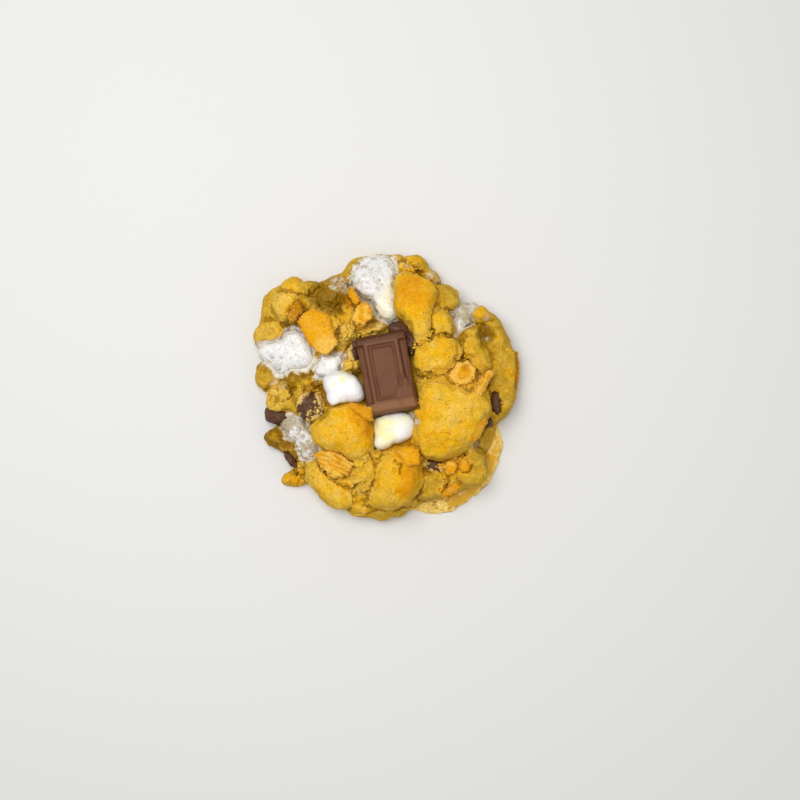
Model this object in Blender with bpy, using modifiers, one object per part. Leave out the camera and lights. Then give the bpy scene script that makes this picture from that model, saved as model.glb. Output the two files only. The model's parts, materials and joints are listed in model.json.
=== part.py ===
"""A thick s'mores cookie: boulders of baked dough with a moulded bar piece, marshmallow,
chocolate chips and broken cracker pressed into them.

Sizes in the tables are millimetres. X runs right and Y up as the cookie is seen from above, Z is up,
and the flat underside lies on Z = 0 with the middle of the cookie at the origin.
"""

import math

import bmesh
import bpy
from mathutils import Matrix, Vector, noise

MM = 0.001
MERGE = 0.01 * MM  # corners closer than this are made one
BALL_SUBDIVISIONS = 4
CORE_RADIUS = 45.0  # the plain round of dough under the boulders
CORE_TOP = 16.0
CORE_HALF_HEIGHT = 15.0
SEAT_GAP = 0.5  # how far a pocket stands off the piece that sits in it, at a corner
CRAG_DEPTH = 0.7  # how far the crags stand out of the dough and sink into it
CRAG_LENGTH = 9.0
RAGGED_OUTLINE = 0.7  # how far a broken cracker's outline strays from its corners
RAGGED_FACE = 0.3
CRACKER_EDGE = 0.5
FOOT_BAND = 8.5  # width of the marshmallow that ran out at the foot
FOOT_HEIGHT = 3.6

# Boulders of dough: corners of the outline seen from above, top, half height,
# rise of the top per mm in x and y.
BOULDERS = {
    "big_right": (
        [
            (13.5, 3.5), (19.5, 4), (23.5, 3), (27.5, 0), (32.5, -1), (38, -1), (41, -7), (37.5, -15),
            (34.5, -20.5), (28.5, -26), (22.5, -28.5), (15, -27), (10, -21), (11, -15), (10, -10),
            (13, -5), (12, 0),
        ],
        29.6, 17.0, (-0.07, 0.05),
    ),
    "middle": (
        [
            (10.5, 14), (11.5, 15.5), (15.5, 16), (17.5, 18.5), (20, 19.5), (24, 19.5), (27.5, 16.5),
            (28.5, 13), (28, 9.5), (25.5, 6.5), (22.5, 5), (18.5, 5), (15.5, 4), (12.5, 5), (11, 9),
        ],
        27.5, 14.0, (0.0, 0.04),
    ),
    "upper_boot": (
        [
            (3.5, 42.5), (5.5, 44), (11, 43.5), (15, 42), (18, 40), (19.5, 37), (19.5, 32.5),
            (18.5, 29), (17, 26), (16.5, 23), (18, 20), (17.5, 17.5), (13.5, 16.5), (11, 18), (9.5, 21),
            (8.5, 24), (5, 26), (3, 29.5), (2.5, 32), (3.5, 36),
        ],
        28.5, 16.0, (0.0, 0.0),
    ),
    "upper_neck": (
        [
            (18, 28.5), (20.5, 29.5), (23.5, 29), (25.5, 25.5), (26.5, 22), (25.5, 19.5), (20, 19.5),
            (18, 19), (17, 22.5), (17.5, 26),
        ],
        25.0, 13.0, (-0.05, -0.15),
    ),
    "upper_outer": (
        [
            (19.5, 38.5), (22, 40), (25, 39.5), (28.5, 35), (29, 33), (26, 30), (21, 30), (19.5, 31.5),
            (19.5, 35),
        ],
        18.5, 12.0, (-0.25, -0.2),
    ),
    "right_ridge": (
        [
            (29, 18), (29.5, 21.5), (31.5, 23.5), (35, 23.5), (36.5, 20), (37, 16), (39.5, 12), (41, 9),
            (41.5, 6), (38, 5), (35, 5.5), (33.5, 9.5), (31, 11), (30.5, 15),
        ],
        23.0, 13.0, (-0.1, 0.05),
    ),
    "right_rim": (
        [
            (40.5, 30), (43.5, 28), (46.5, 22), (49.5, 16), (51, 10), (50.5, 3.5), (46.5, 5.5),
            (42.5, 7), (41, 11), (39.5, 15), (39, 20), (40, 25),
        ],
        17.5, 11.0, (-0.2, 0.0),
    ),
    "right_rim_low": (
        [
            (41.5, 6), (46, 6), (50.5, 4), (51, -1), (50, -6), (48, -10.5), (45, -13), (42.5, -14.5),
            (41.5, -12), (43, -8), (43, -4), (41, -1.5), (40, 2),
        ],
        16.5, 10.0, (-0.2, 0.1),
    ),
    "lower_right_outer": (
        [
            (30, -25.5), (34, -24.5), (37.5, -26), (39.5, -30), (39.5, -34), (38, -37.5), (33, -39.5),
            (29.5, -39), (28, -36), (28, -33), (29.5, -30), (28.5, -27.5),
        ],
        18.0, 11.0, (-0.1, 0.1),
    ),
    "lower_right_inner": (
        [
            (14, -31.5), (20, -31), (24, -33.5), (25, -37), (23, -41.5), (19, -44), (14, -44.5),
            (12.5, -42), (14, -38),
        ],
        16.0, 11.0, (0.0, 0.15),
    ),
    "bottom_boulder": (
        [
            (-1, -25.5), (4.5, -23), (9, -22.5), (12.5, -25.5), (13, -29), (14, -33), (13, -38),
            (10, -43), (5, -47), (-1, -48), (-5, -47), (-7.5, -44), (-6.5, -41), (-4, -38), (-3.5, -33),
            (-3, -28.5),
        ],
        25.0, 16.0, (0.05, 0.12),
    ),
    "bottom_ledge": (
        [
            (-14.5, -47), (-13, -51), (-6, -51.9), (2, -51.6), (9, -49.2), (15, -45), (13, -41),
            (5, -45), (-8, -45),
        ],
        10.0, 8.0, (0.0, 0.15),
    ),
    "left_boulder": (
        [
            (-29.5, -16), (-25.5, -11.5), (-21.5, -8), (-17.5, -6.5), (-10, -6), (-5.5, -8.5),
            (-5.5, -13), (-4.5, -17), (-5, -23), (-7, -26), (-9, -28.5), (-13, -28), (-17, -25.5),
            (-22, -25), (-26, -22.5), (-29, -18.5),
        ],
        27.8, 16.0, (0.09, 0.08),
    ),
    "lower_left": (
        [
            (-31, -29.5), (-27, -28.5), (-25, -32), (-21, -35.5), (-17, -36.5), (-14, -39.5),
            (-11, -40.5), (-10.5, -44.5), (-13, -48), (-19, -48.5), (-24, -45.5), (-27.5, -41),
            (-31, -37), (-32, -33),
        ],
        17.0, 12.0, (0.05, 0.12),
    ),
    "upper_left_crown": (
        [
            (-41.5, 39), (-40, 42), (-37, 43.5), (-34.5, 42.5), (-32.5, 39.5), (-30.5, 36.5),
            (-33, 35.5), (-36, 37.5), (-40, 37.5),
        ],
        16.5, 10.0, (0.0, -0.2),
    ),
    "upper_left_crumb": (
        [
            (-45, 33), (-44, 36), (-42, 37.5), (-38, 37.5), (-33, 35.5), (-34.5, 33), (-37, 30.5),
            (-38, 27), (-39.5, 25.5), (-41.5, 27.5), (-44, 30),
        ],
        17.5, 11.0, (0.15, 0.0),
    ),
    "upper_left_skirt": (
        [
            (-43.5, 40.5), (-47, 37.5), (-49, 32.5), (-50, 27), (-47.5, 25), (-42, 25), (-36, 25),
            (-33, 30), (-33, 37), (-38, 41),
        ],
        12.0, 10.0, (0.15, 0.0),
    ),
    "left_knob": (
        [
            (-52.4, 22), (-49.6, 25), (-45, 26), (-41, 24), (-38, 22.5), (-41, 19.5), (-45, 17.5),
            (-48, 15.5), (-51, 15.5), (-52.4, 18.5),
        ],
        13.5, 10.0, (0.15, 0.1),
    ),
}
BOULDER_FULLNESS = 3.4  # 2 is an egg, more is a cushion with a flat top and steep sides

# Smaller lumps of dough, and broad ones under the boulders:
# x, y, top, half length along x, half length along y, half height, turn in degrees.
DOUGH_LUMPS = {
    "right_body": (27.0, -5.5, 25.0, 13.0, 20.0, 18.0, 0),
    "middle_body": (20.0, 13.0, 24.0, 9.0, 9.5, 15.0, 0),
    "upper_body": (13.5, 28.5, 24.5, 7.5, 13.5, 16.0, 0),
    "left_body": (-16.0, -18.0, 23.5, 12.5, 10.0, 15.0, 0),
    "lower_body": (-7.5, -35.0, 18.5, 19.5, 12.5, 14.0, 0),
    "lower_right_body": (24.0, -33.0, 15.0, 14.5, 9.5, 12.0, 12),
    "right_low_body": (38.5, 10.0, 16.0, 9.5, 18.0, 13.0, 14),
    "left_low_body": (-37.0, 8.0, 9.0, 12.0, 24.0, 8.0, 0),
    "right_knob": (36.8, 28.4, 18.0, 4.0, 3.1, 9.0, -20),
    "lower_right_wedge": (27.0, -38.6, 15.0, 4.4, 3.2, 8.0, 28),
    "bottom_crumb_upper": (-9.6, -41.6, 16.0, 3.6, 3.2, 8.0, 0),
    "bottom_crumb_lower": (-10.5, -47.2, 13.5, 4.4, 4.2, 9.0, 0),
    "crumb_below_mallow": (-4.2, -26.6, 21.5, 2.7, 2.1, 8.0, 0),
    "left_boulder_toe": (-9.0, -29.0, 21.5, 5.4, 4.6, 12.0, 0),
    "toe_lower": (-9.2, -34.0, 19.5, 5.4, 3.8, 11.0, 0),
    "under_cracker_knob": (-14.2, -37.0, 18.5, 3.6, 2.7, 9.0, -20),
    "behind_cracker": (-21.8, 26.0, 21.5, 6.4, 4.6, 12.0, -38),
    "upper_middle_ridge": (-14.6, 31.0, 20.0, 2.8, 7.5, 12.0, 8),
    "crumb_by_bar": (-14.6, 19.8, 22.0, 4.2, 4.6, 12.0, 0),
    "crumb_above_bar": (-5.0, 22.4, 20.5, 7.0, 2.6, 10.0, 8),
    "between_mallows": (-13.8, 8.2, 22.5, 4.4, 4.0, 12.0, 0),
    "upper_left_button": (-30.0, 39.7, 13.0, 3.0, 2.8, 8.0, 0),
    "upper_left_step": (-30.2, 32.0, 15.5, 4.0, 3.0, 9.0, 0),
    "left_caramel": (-47.0, 5.0, 10.5, 5.2, 6.2, 8.0, 0),
    "left_wet": (-36.0, 3.6, 13.5, 6.5, 4.6, 10.0, 0),
    "left_bump": (-41.4, -2.2, 13.0, 5.8, 3.4, 9.0, 0),
    "left_flap": (-43.0, -6.4, 13.5, 4.4, 3.0, 4.0, 0),
    "left_flap_ridge": (-35.8, -8.6, 14.0, 2.2, 5.4, 9.0, 28),
    "left_chip_hood": (-29.0, 2.2, 18.5, 4.4, 2.2, 10.0, 22),
    "left_chip_side": (-33.6, -3.6, 16.0, 2.8, 2.8, 9.0, 0),
    "lower_left_scorched": (-43.0, -20.0, 9.0, 6.0, 4.0, 7.0, 4),
    "lower_left_sticky": (-37.4, -24.6, 9.5, 5.6, 4.0, 7.5, -30),
    "lower_left_spur": (-36.4, -36.6, 6.5, 6.2, 3.3, 5.5, 8),
    "lower_left_nub": (-33.0, -31.4, 10.0, 3.6, 3.2, 8.0, 0),
    "top_rim_left": (-14.0, 45.6, 13.5, 2.8, 6.0, 10.0, -32),
    "top_rim": (-6.0, 50.2, 10.0, 6.4, 2.6, 8.0, 10),
    "top_rim_button": (4.0, 50.4, 12.0, 3.6, 2.6, 9.0, 0),
    "top_rim_right": (11.0, 49.2, 12.5, 5.2, 3.2, 9.0, -8),
    "top_rim_step": (7.6, 46.4, 16.5, 4.4, 2.6, 9.0, 0),
    "top_rim_end": (17.6, 43.6, 10.5, 4.2, 3.0, 8.0, -42),
    "upper_valley": (-21.5, 35.5, 11.0, 9.5, 7.0, 10.0, 20),
    "upper_valley_lip": (-21.0, 41.2, 9.0, 8.0, 3.0, 8.0, 24),
}
LUMP_SQUARENESS = 0.25  # 0 is a ball, more is a rounded block
LUMP_SWELL = 0.13  # how far noise pulls a lump about, as a share of its size
BOULDER_SWELL = 0.05

# Each kind of rounded piece: voxel size of its skin, rounds of smoothing, rough number of triangles.
SKINS = {
    "dough": {"voxel": 1.0, "smoothing": 3, "triangles": 5000},
    "dark_chocolate": {"voxel": 0.7, "smoothing": 2, "triangles": 96},
    "marshmallow": {"voxel": 0.8, "smoothing": 3, "triangles": 220},
    "melted_marshmallow": {"voxel": 0.8, "smoothing": 3, "triangles": 230},
}

# One pip of a moulded bar, about its own middle: x across it, y along it, z up from its border.
BAR_PLACE = (0.0, 4.6, 26.8)
BAR_TURN = 10.7
BAR_LEAN = (-2.5, -2.0)  # degrees, about its own length and about its own width
BAR_COLUMNS = (-9.2, -6.9, 7.4, 10.0)  # outer ledge, border and panel between them, outer ledge
BAR_ROWS = (-14.8, -9.9, 12.3, 16.0)  # lower band, border and panel between them, upper band
BAR_BAND_REACH = 1.5  # how far the left ends of both bands pass the ledge
BAR_BASE = 4.2
BAR_RISE = 2.6  # the bands and the border stand this far above the ledges
BAR_DRAFT = 0.35
BAR_BORDER = 1.8
BAR_PANEL_STEPS = [(0.5, 1.0), (0.9, 0.0), (0.3, 0.4)]  # inward and down from the border to the bare panel
BAR_END_SLOPE = 0.92

# Rounded pieces pressed into the dough, each of one or more lumps in the same seven numbers.
CHOCOLATE_LUMPS = {
    "chip_left_edge": [(-42.6, -10.6, 10.5, 5.6, 4.4, 5.0, -8)],
    "chip_crumbed": [(-29.4, -7.8, 19.0, 5.2, 6.0, 6.0, 0)],
    "chip_in_shadow": [(-24.6, -3.2, 12.5, 3.4, 5.6, 5.0, 20)],
    "chunk_behind_bar": [
        (5.6, 22.0, 23.4, 4.8, 3.2, 5.0, -6),
        (10.1, 16.6, 24.6, 2.4, 4.8, 5.0, 14),
    ],
    "chip_right_edge": [(43.0, -6.2, 16.8, 2.3, 4.8, 5.0, 8)],
    "chip_right_small": [(39.8, -13.8, 15.6, 2.0, 1.9, 4.0, 0)],
    "chip_lower_left": [(-37.9, -28.7, 9.4, 1.7, 4.0, 3.5, 36)],
    "chip_under_boulder": [(18.4, -30.6, 16.6, 4.8, 2.6, 4.0, -14)],
    "chip_left_of_bar": [(-12.4, 13.0, 21.0, 2.2, 3.4, 4.0, 0)],
}

# Marshmallows, whole and melted, in the same four values as the boulders.
MALLOWS = {
    "mallow_left": (
        [
            (-24.2, 3.8), (-20.8, 5.4), (-17.2, 6.2), (-13.2, 4.8), (-10.2, 2.4), (-8.6, -1),
            (-8.4, -4.5), (-10, -6), (-14.2, -6), (-17.6, -6.6), (-20.8, -7.4), (-22.6, -2.5),
        ],
        26.0, 8.5, (0.05, 0.0),
    ),
    "mallow_bottom": (
        [
            (-4.4, -12), (-2, -11.5), (2, -10), (6, -9.6), (9, -10.5), (11, -13), (11.2, -16),
            (10, -19.4), (7, -21.2), (3, -22), (0, -23.8), (-3, -24.4), (-4.8, -23.2), (-4.2, -19),
            (-4.8, -15.5),
        ],
        24.2, 8.0, (0.05, 0.05),
    ),
}
MELTS = {
    "melt_top": (
        [
            (-13.5, 42), (-11.5, 47), (-8.5, 49.5), (-4, 51), (0.5, 51), (3, 48.5), (3, 43), (3.2, 38),
            (3, 32.5), (5, 27), (1.5, 25), (-2.5, 27), (-4.5, 30.5), (-5.5, 34), (-10, 36), (-13, 38.5),
        ],
        19.0, 8.0, (0.1, -0.34),
    ),
    "melt_centre": (
        [
            (-27.4, 5.2), (-26.8, 8.5), (-25.4, 11), (-21.6, 12.2), (-17.4, 11.8), (-17.6, 8),
            (-18.8, 5.6), (-23, 4.4),
        ],
        20.4, 6.0, (0.1, 0.0),
    ),
    "melt_left": (
        [
            (-50.5, 15), (-49, 17.6), (-45.5, 17.4), (-41, 18.6), (-38, 22.2), (-34.5, 22.6),
            (-31.5, 20.3), (-29.2, 15.5), (-28, 10.5), (-29.5, 8), (-34, 6.8), (-38, 6.6), (-41, 4.2),
            (-44, 6), (-46, 9.5), (-50, 12),
        ],
        14.2, 6.6, (0.24, 0.1),
    ),
    "melt_lower_left": (
        [
            (-41.5, -15.2), (-40, -12.6), (-36.5, -11), (-33, -12.4), (-31, -15.8), (-29.2, -19),
            (-26.4, -21.8), (-25.7, -24), (-28, -27), (-30.2, -28.4), (-33, -27.4), (-33.6, -24),
            (-35, -20.5), (-37, -17.8), (-40, -16.6),
        ],
        14.0, 6.4, (0.2, 0.0),
    ),
    "melt_right": (
        [
            (25.8, 28), (27.5, 31), (31, 33), (36, 32.4), (34.5, 29.5), (33, 26.5), (31, 24),
            (28.8, 21.5), (28.2, 17.8), (26.3, 18.6), (26.8, 23),
        ],
        16.2, 7.0, (-0.1, -0.2),
    ),
}
MELT_FOOT_ARC = [(9.5, -47.0), (21.0, -46.8), (31.5, -41.8), (39.6, -32.4), (42.6, -22.0), (41.8, -12.8)]

# Broken cracker: corners seen from above, height of the upper face, its rise per mm in x and y, thickness.
CRACKERS = {
    "cracker_left": (
        [
            (-34, 25), (-31, 29), (-26, 29.4), (-22, 27.4), (-18.6, 16.6), (-22, 12.8), (-24.6, 12.2),
            (-29.4, 16.6),
        ],
        23.0, (0.10, -0.12), 3.6,
    ),
    "cracker_left_small": (
        [(-38, 27), (-36.2, 31.6), (-33.4, 33), (-32.4, 29.6), (-34.8, 25.6), (-37, 25)],
        18.8, (0.1, -0.1), 3.4,
    ),
    "cracker_lower_left": (
        [
            (-27.5, -26), (-24, -25), (-19, -25), (-12, -30), (-14.6, -33.4), (-18, -35),
            (-21.6, -34.4), (-26, -29.6),
        ],
        21.8, (0.10, 0.20), 3.6,
    ),
    "cracker_right": (
        [(24, 4), (27.4, 9.4), (31, 10), (34.6, 7), (34, 3), (31, 0.6), (27, 0.6)],
        25.4, (-0.1, 0.0), 3.6,
    ),
    "cracker_right_on_edge": (
        [(33.6, -2.2), (36.4, 3.4), (39.2, 6.4), (41, 5.4), (38.6, 0.4), (36.2, -3.4), (34.4, -3.8)],
        26.8, (-0.1, 0.0), 7.0,
    ),
    "cracker_wedge": (
        [
            (31.6, -20.6), (32.2, -16.6), (34.8, -13.8), (37.8, -12.0), (39.0, -13.8), (35.8, -19.0),
            (33.2, -21.4),
        ],
        25.2, (-0.6, 0.3), 4.4,
    ),
    "cracker_rim": (
        [(49.8, 14.6), (51.6, 13.8), (52.6, 10), (52.4, 1), (49.4, -9), (44, -8), (44, 12)],
        8.8, (0.0, 0.0), 3.4,
    ),
    "cracker_top": (
        [(-12.8, 26), (-11, 31), (-8.4, 33), (-5.8, 31), (-5.2, 26.4), (-8, 23.4), (-11, 24.2)],
        23.6, (0.0, -0.1), 4.6,
    ),
    "cracker_top_sliver": (
        [(-14.8, 35.6), (-13.2, 38.0), (-11.4, 36.2), (-9.6, 32.6), (-11, 31.4), (-13, 32.4)],
        21.6, (0.1, 0.1), 3.6,
    ),
    "cracker_bottom_left": (
        [(22.4, -31), (23.4, -33.4), (26.4, -33.2), (27.8, -31), (26.4, -29), (23.4, -29)],
        19.8, (0.0, -0.1), 3.6,
    ),
    "cracker_bottom_right": (
        [(28, -31), (28.6, -28.4), (31, -28), (32.6, -30), (32, -32.6), (29.4, -33)],
        20.2, (0.0, -0.1), 3.6,
    ),
    "cracker_bottom_sliver": (
        [(21.6, -42.6), (22.6, -40.6), (27.6, -37.2), (28.6, -38.8), (24.2, -42.4)],
        17.2, (0.1, 0.4), 3.4,
    ),
    "cracker_on_bottom_boulder": (
        [(3.6, -24.6), (8, -22.6), (12.4, -24), (13.0, -29.4), (8.6, -30.4)],
        26.0, (0.02, -0.04), 3.4,
    ),
    "cracker_on_left_boulder": (
        [(-14, -6.2), (-9, -7), (-5, -8.4), (-4.8, -13), (-8, -12.4), (-11.6, -10.2)],
        28.6, (0.0, -0.05), 3.4,
    ),
}

# Colours are linear.
FINISHES = {
    "dough": ((0.68, 0.40, 0.075), 0.62),
    "cracker": ((0.70, 0.34, 0.03), 0.7),
    "chocolate": ((0.16, 0.075, 0.042), 0.42),
    "dark_chocolate": ((0.10, 0.05, 0.032), 0.5),
    "marshmallow": ((0.90, 0.88, 0.80), 0.55),
    "melted_marshmallow": ((0.80, 0.77, 0.68), 0.35),
    "run_marshmallow": ((0.72, 0.50, 0.20), 0.3),
}


def finish(name):
    """The Principled material of that name, made once."""
    found = bpy.data.materials.get(name)
    if found:
        return found
    colour, roughness = FINISHES[name]
    material = bpy.data.materials.new(name)
    material.use_nodes = True
    shader = material.node_tree.nodes["Principled BSDF"]
    shader.inputs["Base Color"].default_value = (*colour, 1.0)
    shader.inputs["Roughness"].default_value = roughness
    shader.inputs["Metallic"].default_value = 0.0
    material.diffuse_color = (*colour, 1.0)
    return material


def new_collection(name):
    collection = bpy.data.collections.new(name)
    bpy.context.scene.collection.children.link(collection)
    return collection


def object_from(bm, name, collection):
    mesh = bpy.data.meshes.new(name)
    bm.to_mesh(mesh)
    bm.free()
    obj = bpy.data.objects.new(name, mesh)
    collection.objects.link(obj)
    return obj


def bake_modifiers(obj):
    """Replaces the object's mesh by the one that its modifiers make, and takes the modifiers off."""
    graph = bpy.context.evaluated_depsgraph_get()
    graph.update()
    baked = bpy.data.meshes.new_from_object(obj.evaluated_get(graph))
    old = obj.data
    obj.modifiers.clear()
    obj.data = baked
    bpy.data.meshes.remove(old)


def sway(place):
    """Smooth noise in all three directions."""
    return Vector([noise.noise(place + Vector((shift, -shift, shift))) for shift in (0.0, 31.4, 57.3)])


def swelling(place, seed, share):
    """How much a lump bulges there: 1 and a little more or less."""
    shift = Vector((seed * 3.7, seed * -1.9, seed * 5.3))
    return 1.0 + share * (noise.noise(place * 1.4 + shift) + 0.4 * noise.noise(place * 3.2 + shift))


def add_lump(bm, lump, seed):
    """A potato: a ball squared off a little, pulled about by slow noise, stretched and set in place."""
    x, y, top, half_x, half_y, half_z, turn = lump
    ball = bmesh.ops.create_icosphere(bm, subdivisions=BALL_SUBDIVISIONS, radius=1.0)["verts"]
    place = (
        Matrix.Translation(Vector((x, y, top - half_z)) * MM)
        @ Matrix.Rotation(math.radians(turn), 4, "Z")
        @ Matrix.Diagonal((half_x * MM, half_y * MM, half_z * MM, 1.0))
    )
    for vert in ball:
        corner = max(abs(c) for c in vert.co) ** -0.5 - 1.0
        vert.co = place @ (vert.co * swelling(vert.co, seed, LUMP_SWELL) * (1.0 + LUMP_SQUARENESS * corner))


def spokes_of(corners, middle):
    """Direction and distance of each corner from the middle, once round and a corner on at both ends."""
    ways = [Vector(corner) - middle for corner in corners]
    found = sorted((math.atan2(way.y, way.x), way.length) for way in ways)
    before, after = found[-1], found[0]
    return [(before[0] - math.tau, before[1]), *found, (after[0] + math.tau, after[1])]


def reach(spokes, angle):
    """How far the outline lies from its middle in that direction, between the two nearest spokes."""
    after = next(number for number, spoke in enumerate(spokes) if spoke[0] > angle)
    (start, near_reach), (end, far_reach) = spokes[after - 1], spokes[after]
    return near_reach + (far_reach - near_reach) * (angle - start) / (end - start)


def add_boulder(bm, boulder, seed):
    """A cushion whose outline from above runs through the corners, with a flat top that may slope."""
    corners, top, half_z, rise = boulder
    middle = sum((Vector(corner) for corner in corners), Vector((0, 0))) / len(corners)
    spokes = spokes_of(corners, middle)
    ball = bmesh.ops.create_icosphere(bm, subdivisions=BALL_SUBDIVISIONS, radius=1.0)["verts"]
    for vert in ball:
        way = vert.co.copy()
        out = math.hypot(way.x, way.y)
        full = (out ** BOULDER_FULLNESS + abs(way.z) ** BOULDER_FULLNESS) ** (-1.0 / BOULDER_FULLNESS)
        full *= swelling(way, seed, BOULDER_SWELL)
        across = Vector((way.x, way.y)) * full * reach(spokes, math.atan2(way.y, way.x))
        slope = max(way.z, 0.0) * (across.x * rise[0] + across.y * rise[1])
        height = top - half_z + way.z * full * half_z + slope
        vert.co = Vector((middle.x + across.x, middle.y + across.y, height)) * MM


def keep_largest(bm):
    """Drops the loose scraps that a cut leaves."""
    bm.verts.ensure_lookup_table()
    seen = set()
    islands = []
    for start in bm.verts:
        if start in seen:
            continue
        island = [start]
        seen.add(start)
        for vert in island:
            for edge in vert.link_edges:
                other = edge.other_vert(vert)
                if other not in seen:
                    seen.add(other)
                    island.append(other)
        islands.append(island)
    islands.sort(key=len)
    for island in islands[:-1]:
        bmesh.ops.delete(bm, geom=island, context="VERTS")


def cut_at_floor(bm):
    """Cuts the shape off flat at the floor and closes the cut."""
    everything = bm.verts[:] + bm.edges[:] + bm.faces[:]
    cut = bmesh.ops.bisect_plane(
        bm, geom=everything, dist=1e-7, plane_co=(0, 0, 0), plane_no=(0, 0, 1), clear_inner=True
    )["geom_cut"]
    rim = [item for item in cut if isinstance(item, bmesh.types.BMEdge)]
    bmesh.ops.holes_fill(bm, edges=rim)
    bmesh.ops.triangulate(bm, faces=[face for face in bm.faces if len(face.verts) > 4])


def tidy_mesh(obj, on_floor=False):
    bm = bmesh.new()
    bm.from_mesh(obj.data)
    if on_floor:
        cut_at_floor(bm)
    bmesh.ops.remove_doubles(bm, verts=bm.verts[:], dist=MERGE)
    bmesh.ops.dissolve_degenerate(bm, edges=bm.edges[:], dist=MERGE)
    keep_largest(bm)
    bmesh.ops.recalc_face_normals(bm, faces=bm.faces[:])
    bm.to_mesh(obj.data)
    bm.free()


def roughen(obj):
    """Crags: the surface pushed in and out by noise."""
    bm = bmesh.new()
    bm.from_mesh(obj.data)
    bm.normal_update()
    scale = 1.0 / (CRAG_LENGTH * MM)
    moved = []
    for vert in bm.verts:
        here = vert.co * scale
        ridge = 0.5 - abs(noise.noise(here))
        height = 1.3 * ridge + 0.8 * noise.noise(here * 2.1) - 0.3
        moved.append(vert.co + vert.normal * height * CRAG_DEPTH * MM)
    for vert, place in zip(bm.verts, moved, strict=True):
        vert.co = place
    bm.to_mesh(obj.data)
    bm.free()


def fused(name, kind, collection, lumps=(), boulders=()):
    """Lumps and boulders grown into one skin, thinned out to the triangles that its kind of piece gets."""
    skin = SKINS[kind]
    bm = bmesh.new()
    for number, lump in enumerate(lumps):
        add_lump(bm, lump, len(name) + 1.37 * number)
    for number, boulder in enumerate(boulders):
        add_boulder(bm, boulder, len(name) + 2.11 * number)
    obj = object_from(bm, name, collection)
    fuse = obj.modifiers.new("one skin", "REMESH")
    fuse.mode = "VOXEL"
    fuse.voxel_size = skin["voxel"] * MM
    soften = obj.modifiers.new("soften", "SMOOTH")
    soften.factor = 0.5
    soften.iterations = skin["smoothing"]
    bake_modifiers(obj)
    if kind == "dough":
        roughen(obj)
    obj.data.calc_loop_triangles()
    thin = obj.modifiers.new("thin out", "DECIMATE")
    thin.ratio = min(1.0, skin["triangles"] / len(obj.data.loop_triangles))
    bake_modifiers(obj)
    tidy_mesh(obj, on_floor=kind == "dough")
    return obj


def make_dough(collection):
    core = (0.0, 0.0, CORE_TOP, CORE_RADIUS, CORE_RADIUS, CORE_HALF_HEIGHT, 0)
    return fused("dough", "dough", collection, [core, *DOUGH_LUMPS.values()], BOULDERS.values())


def corners_in(geometry):
    return [item for item in geometry if isinstance(item, bmesh.types.BMVert)]


def make_bar(collection):
    """The pip: a base plate, two bands and a border raised on it, and a sunk bare panel with steps."""
    bm = bmesh.new()
    bmesh.ops.create_grid(bm, x_segments=3, y_segments=3, size=1.0)
    for vert in bm.verts:
        column = round((vert.co.x + 1.0) * 1.5)
        row = round((vert.co.y + 1.0) * 1.5)
        vert.co = (BAR_COLUMNS[column], BAR_ROWS[row], -BAR_RISE)
    plate_top = bm.faces[:]
    below = bmesh.ops.extrude_face_region(bm, geom=plate_top)["geom"]
    bmesh.ops.translate(bm, verts=corners_in(below), vec=(0, 0, -BAR_BASE))
    bmesh.ops.recalc_face_normals(bm, faces=bm.faces[:])
    places = {face: face.calc_center_median() for face in plate_top}
    raised = [face for face, place in places.items() if abs(place.x) < 5.0 or abs(place.y) > 9.0]
    bmesh.ops.inset_region(bm, faces=raised, thickness=BAR_DRAFT, depth=BAR_RISE)
    for vert in bm.verts:
        on_band = vert.co.z > -BAR_RISE / 2
        if on_band and vert.co.x < BAR_COLUMNS[0] + 1.0:
            vert.co.x -= BAR_BAND_REACH
        if on_band and not BAR_ROWS[0] + 1.0 < vert.co.y < BAR_ROWS[3] - 1.0:
            vert.co.y *= BAR_END_SLOPE
    centre = min(places, key=lambda face: places[face].length)
    bmesh.ops.inset_region(bm, faces=[centre], thickness=BAR_BORDER)
    for inward, down in BAR_PANEL_STEPS:
        bmesh.ops.inset_region(bm, faces=[centre], thickness=inward, depth=-down)
    bmesh.ops.recalc_face_normals(bm, faces=bm.faces[:])
    bmesh.ops.transform(bm, verts=bm.verts[:], matrix=Matrix.Scale(MM, 4))
    place = (
        Matrix.Translation(Vector(BAR_PLACE) * MM)
        @ Matrix.Rotation(math.radians(BAR_TURN), 4, "Z")
        @ Matrix.Rotation(math.radians(BAR_LEAN[0]), 4, "Y")
        @ Matrix.Rotation(math.radians(BAR_LEAN[1]), 4, "X")
    )
    bmesh.ops.transform(bm, verts=bm.verts[:], matrix=place)
    bmesh.ops.triangulate(bm, faces=bm.faces[:])
    return object_from(bm, "bar_piece", collection)


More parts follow.
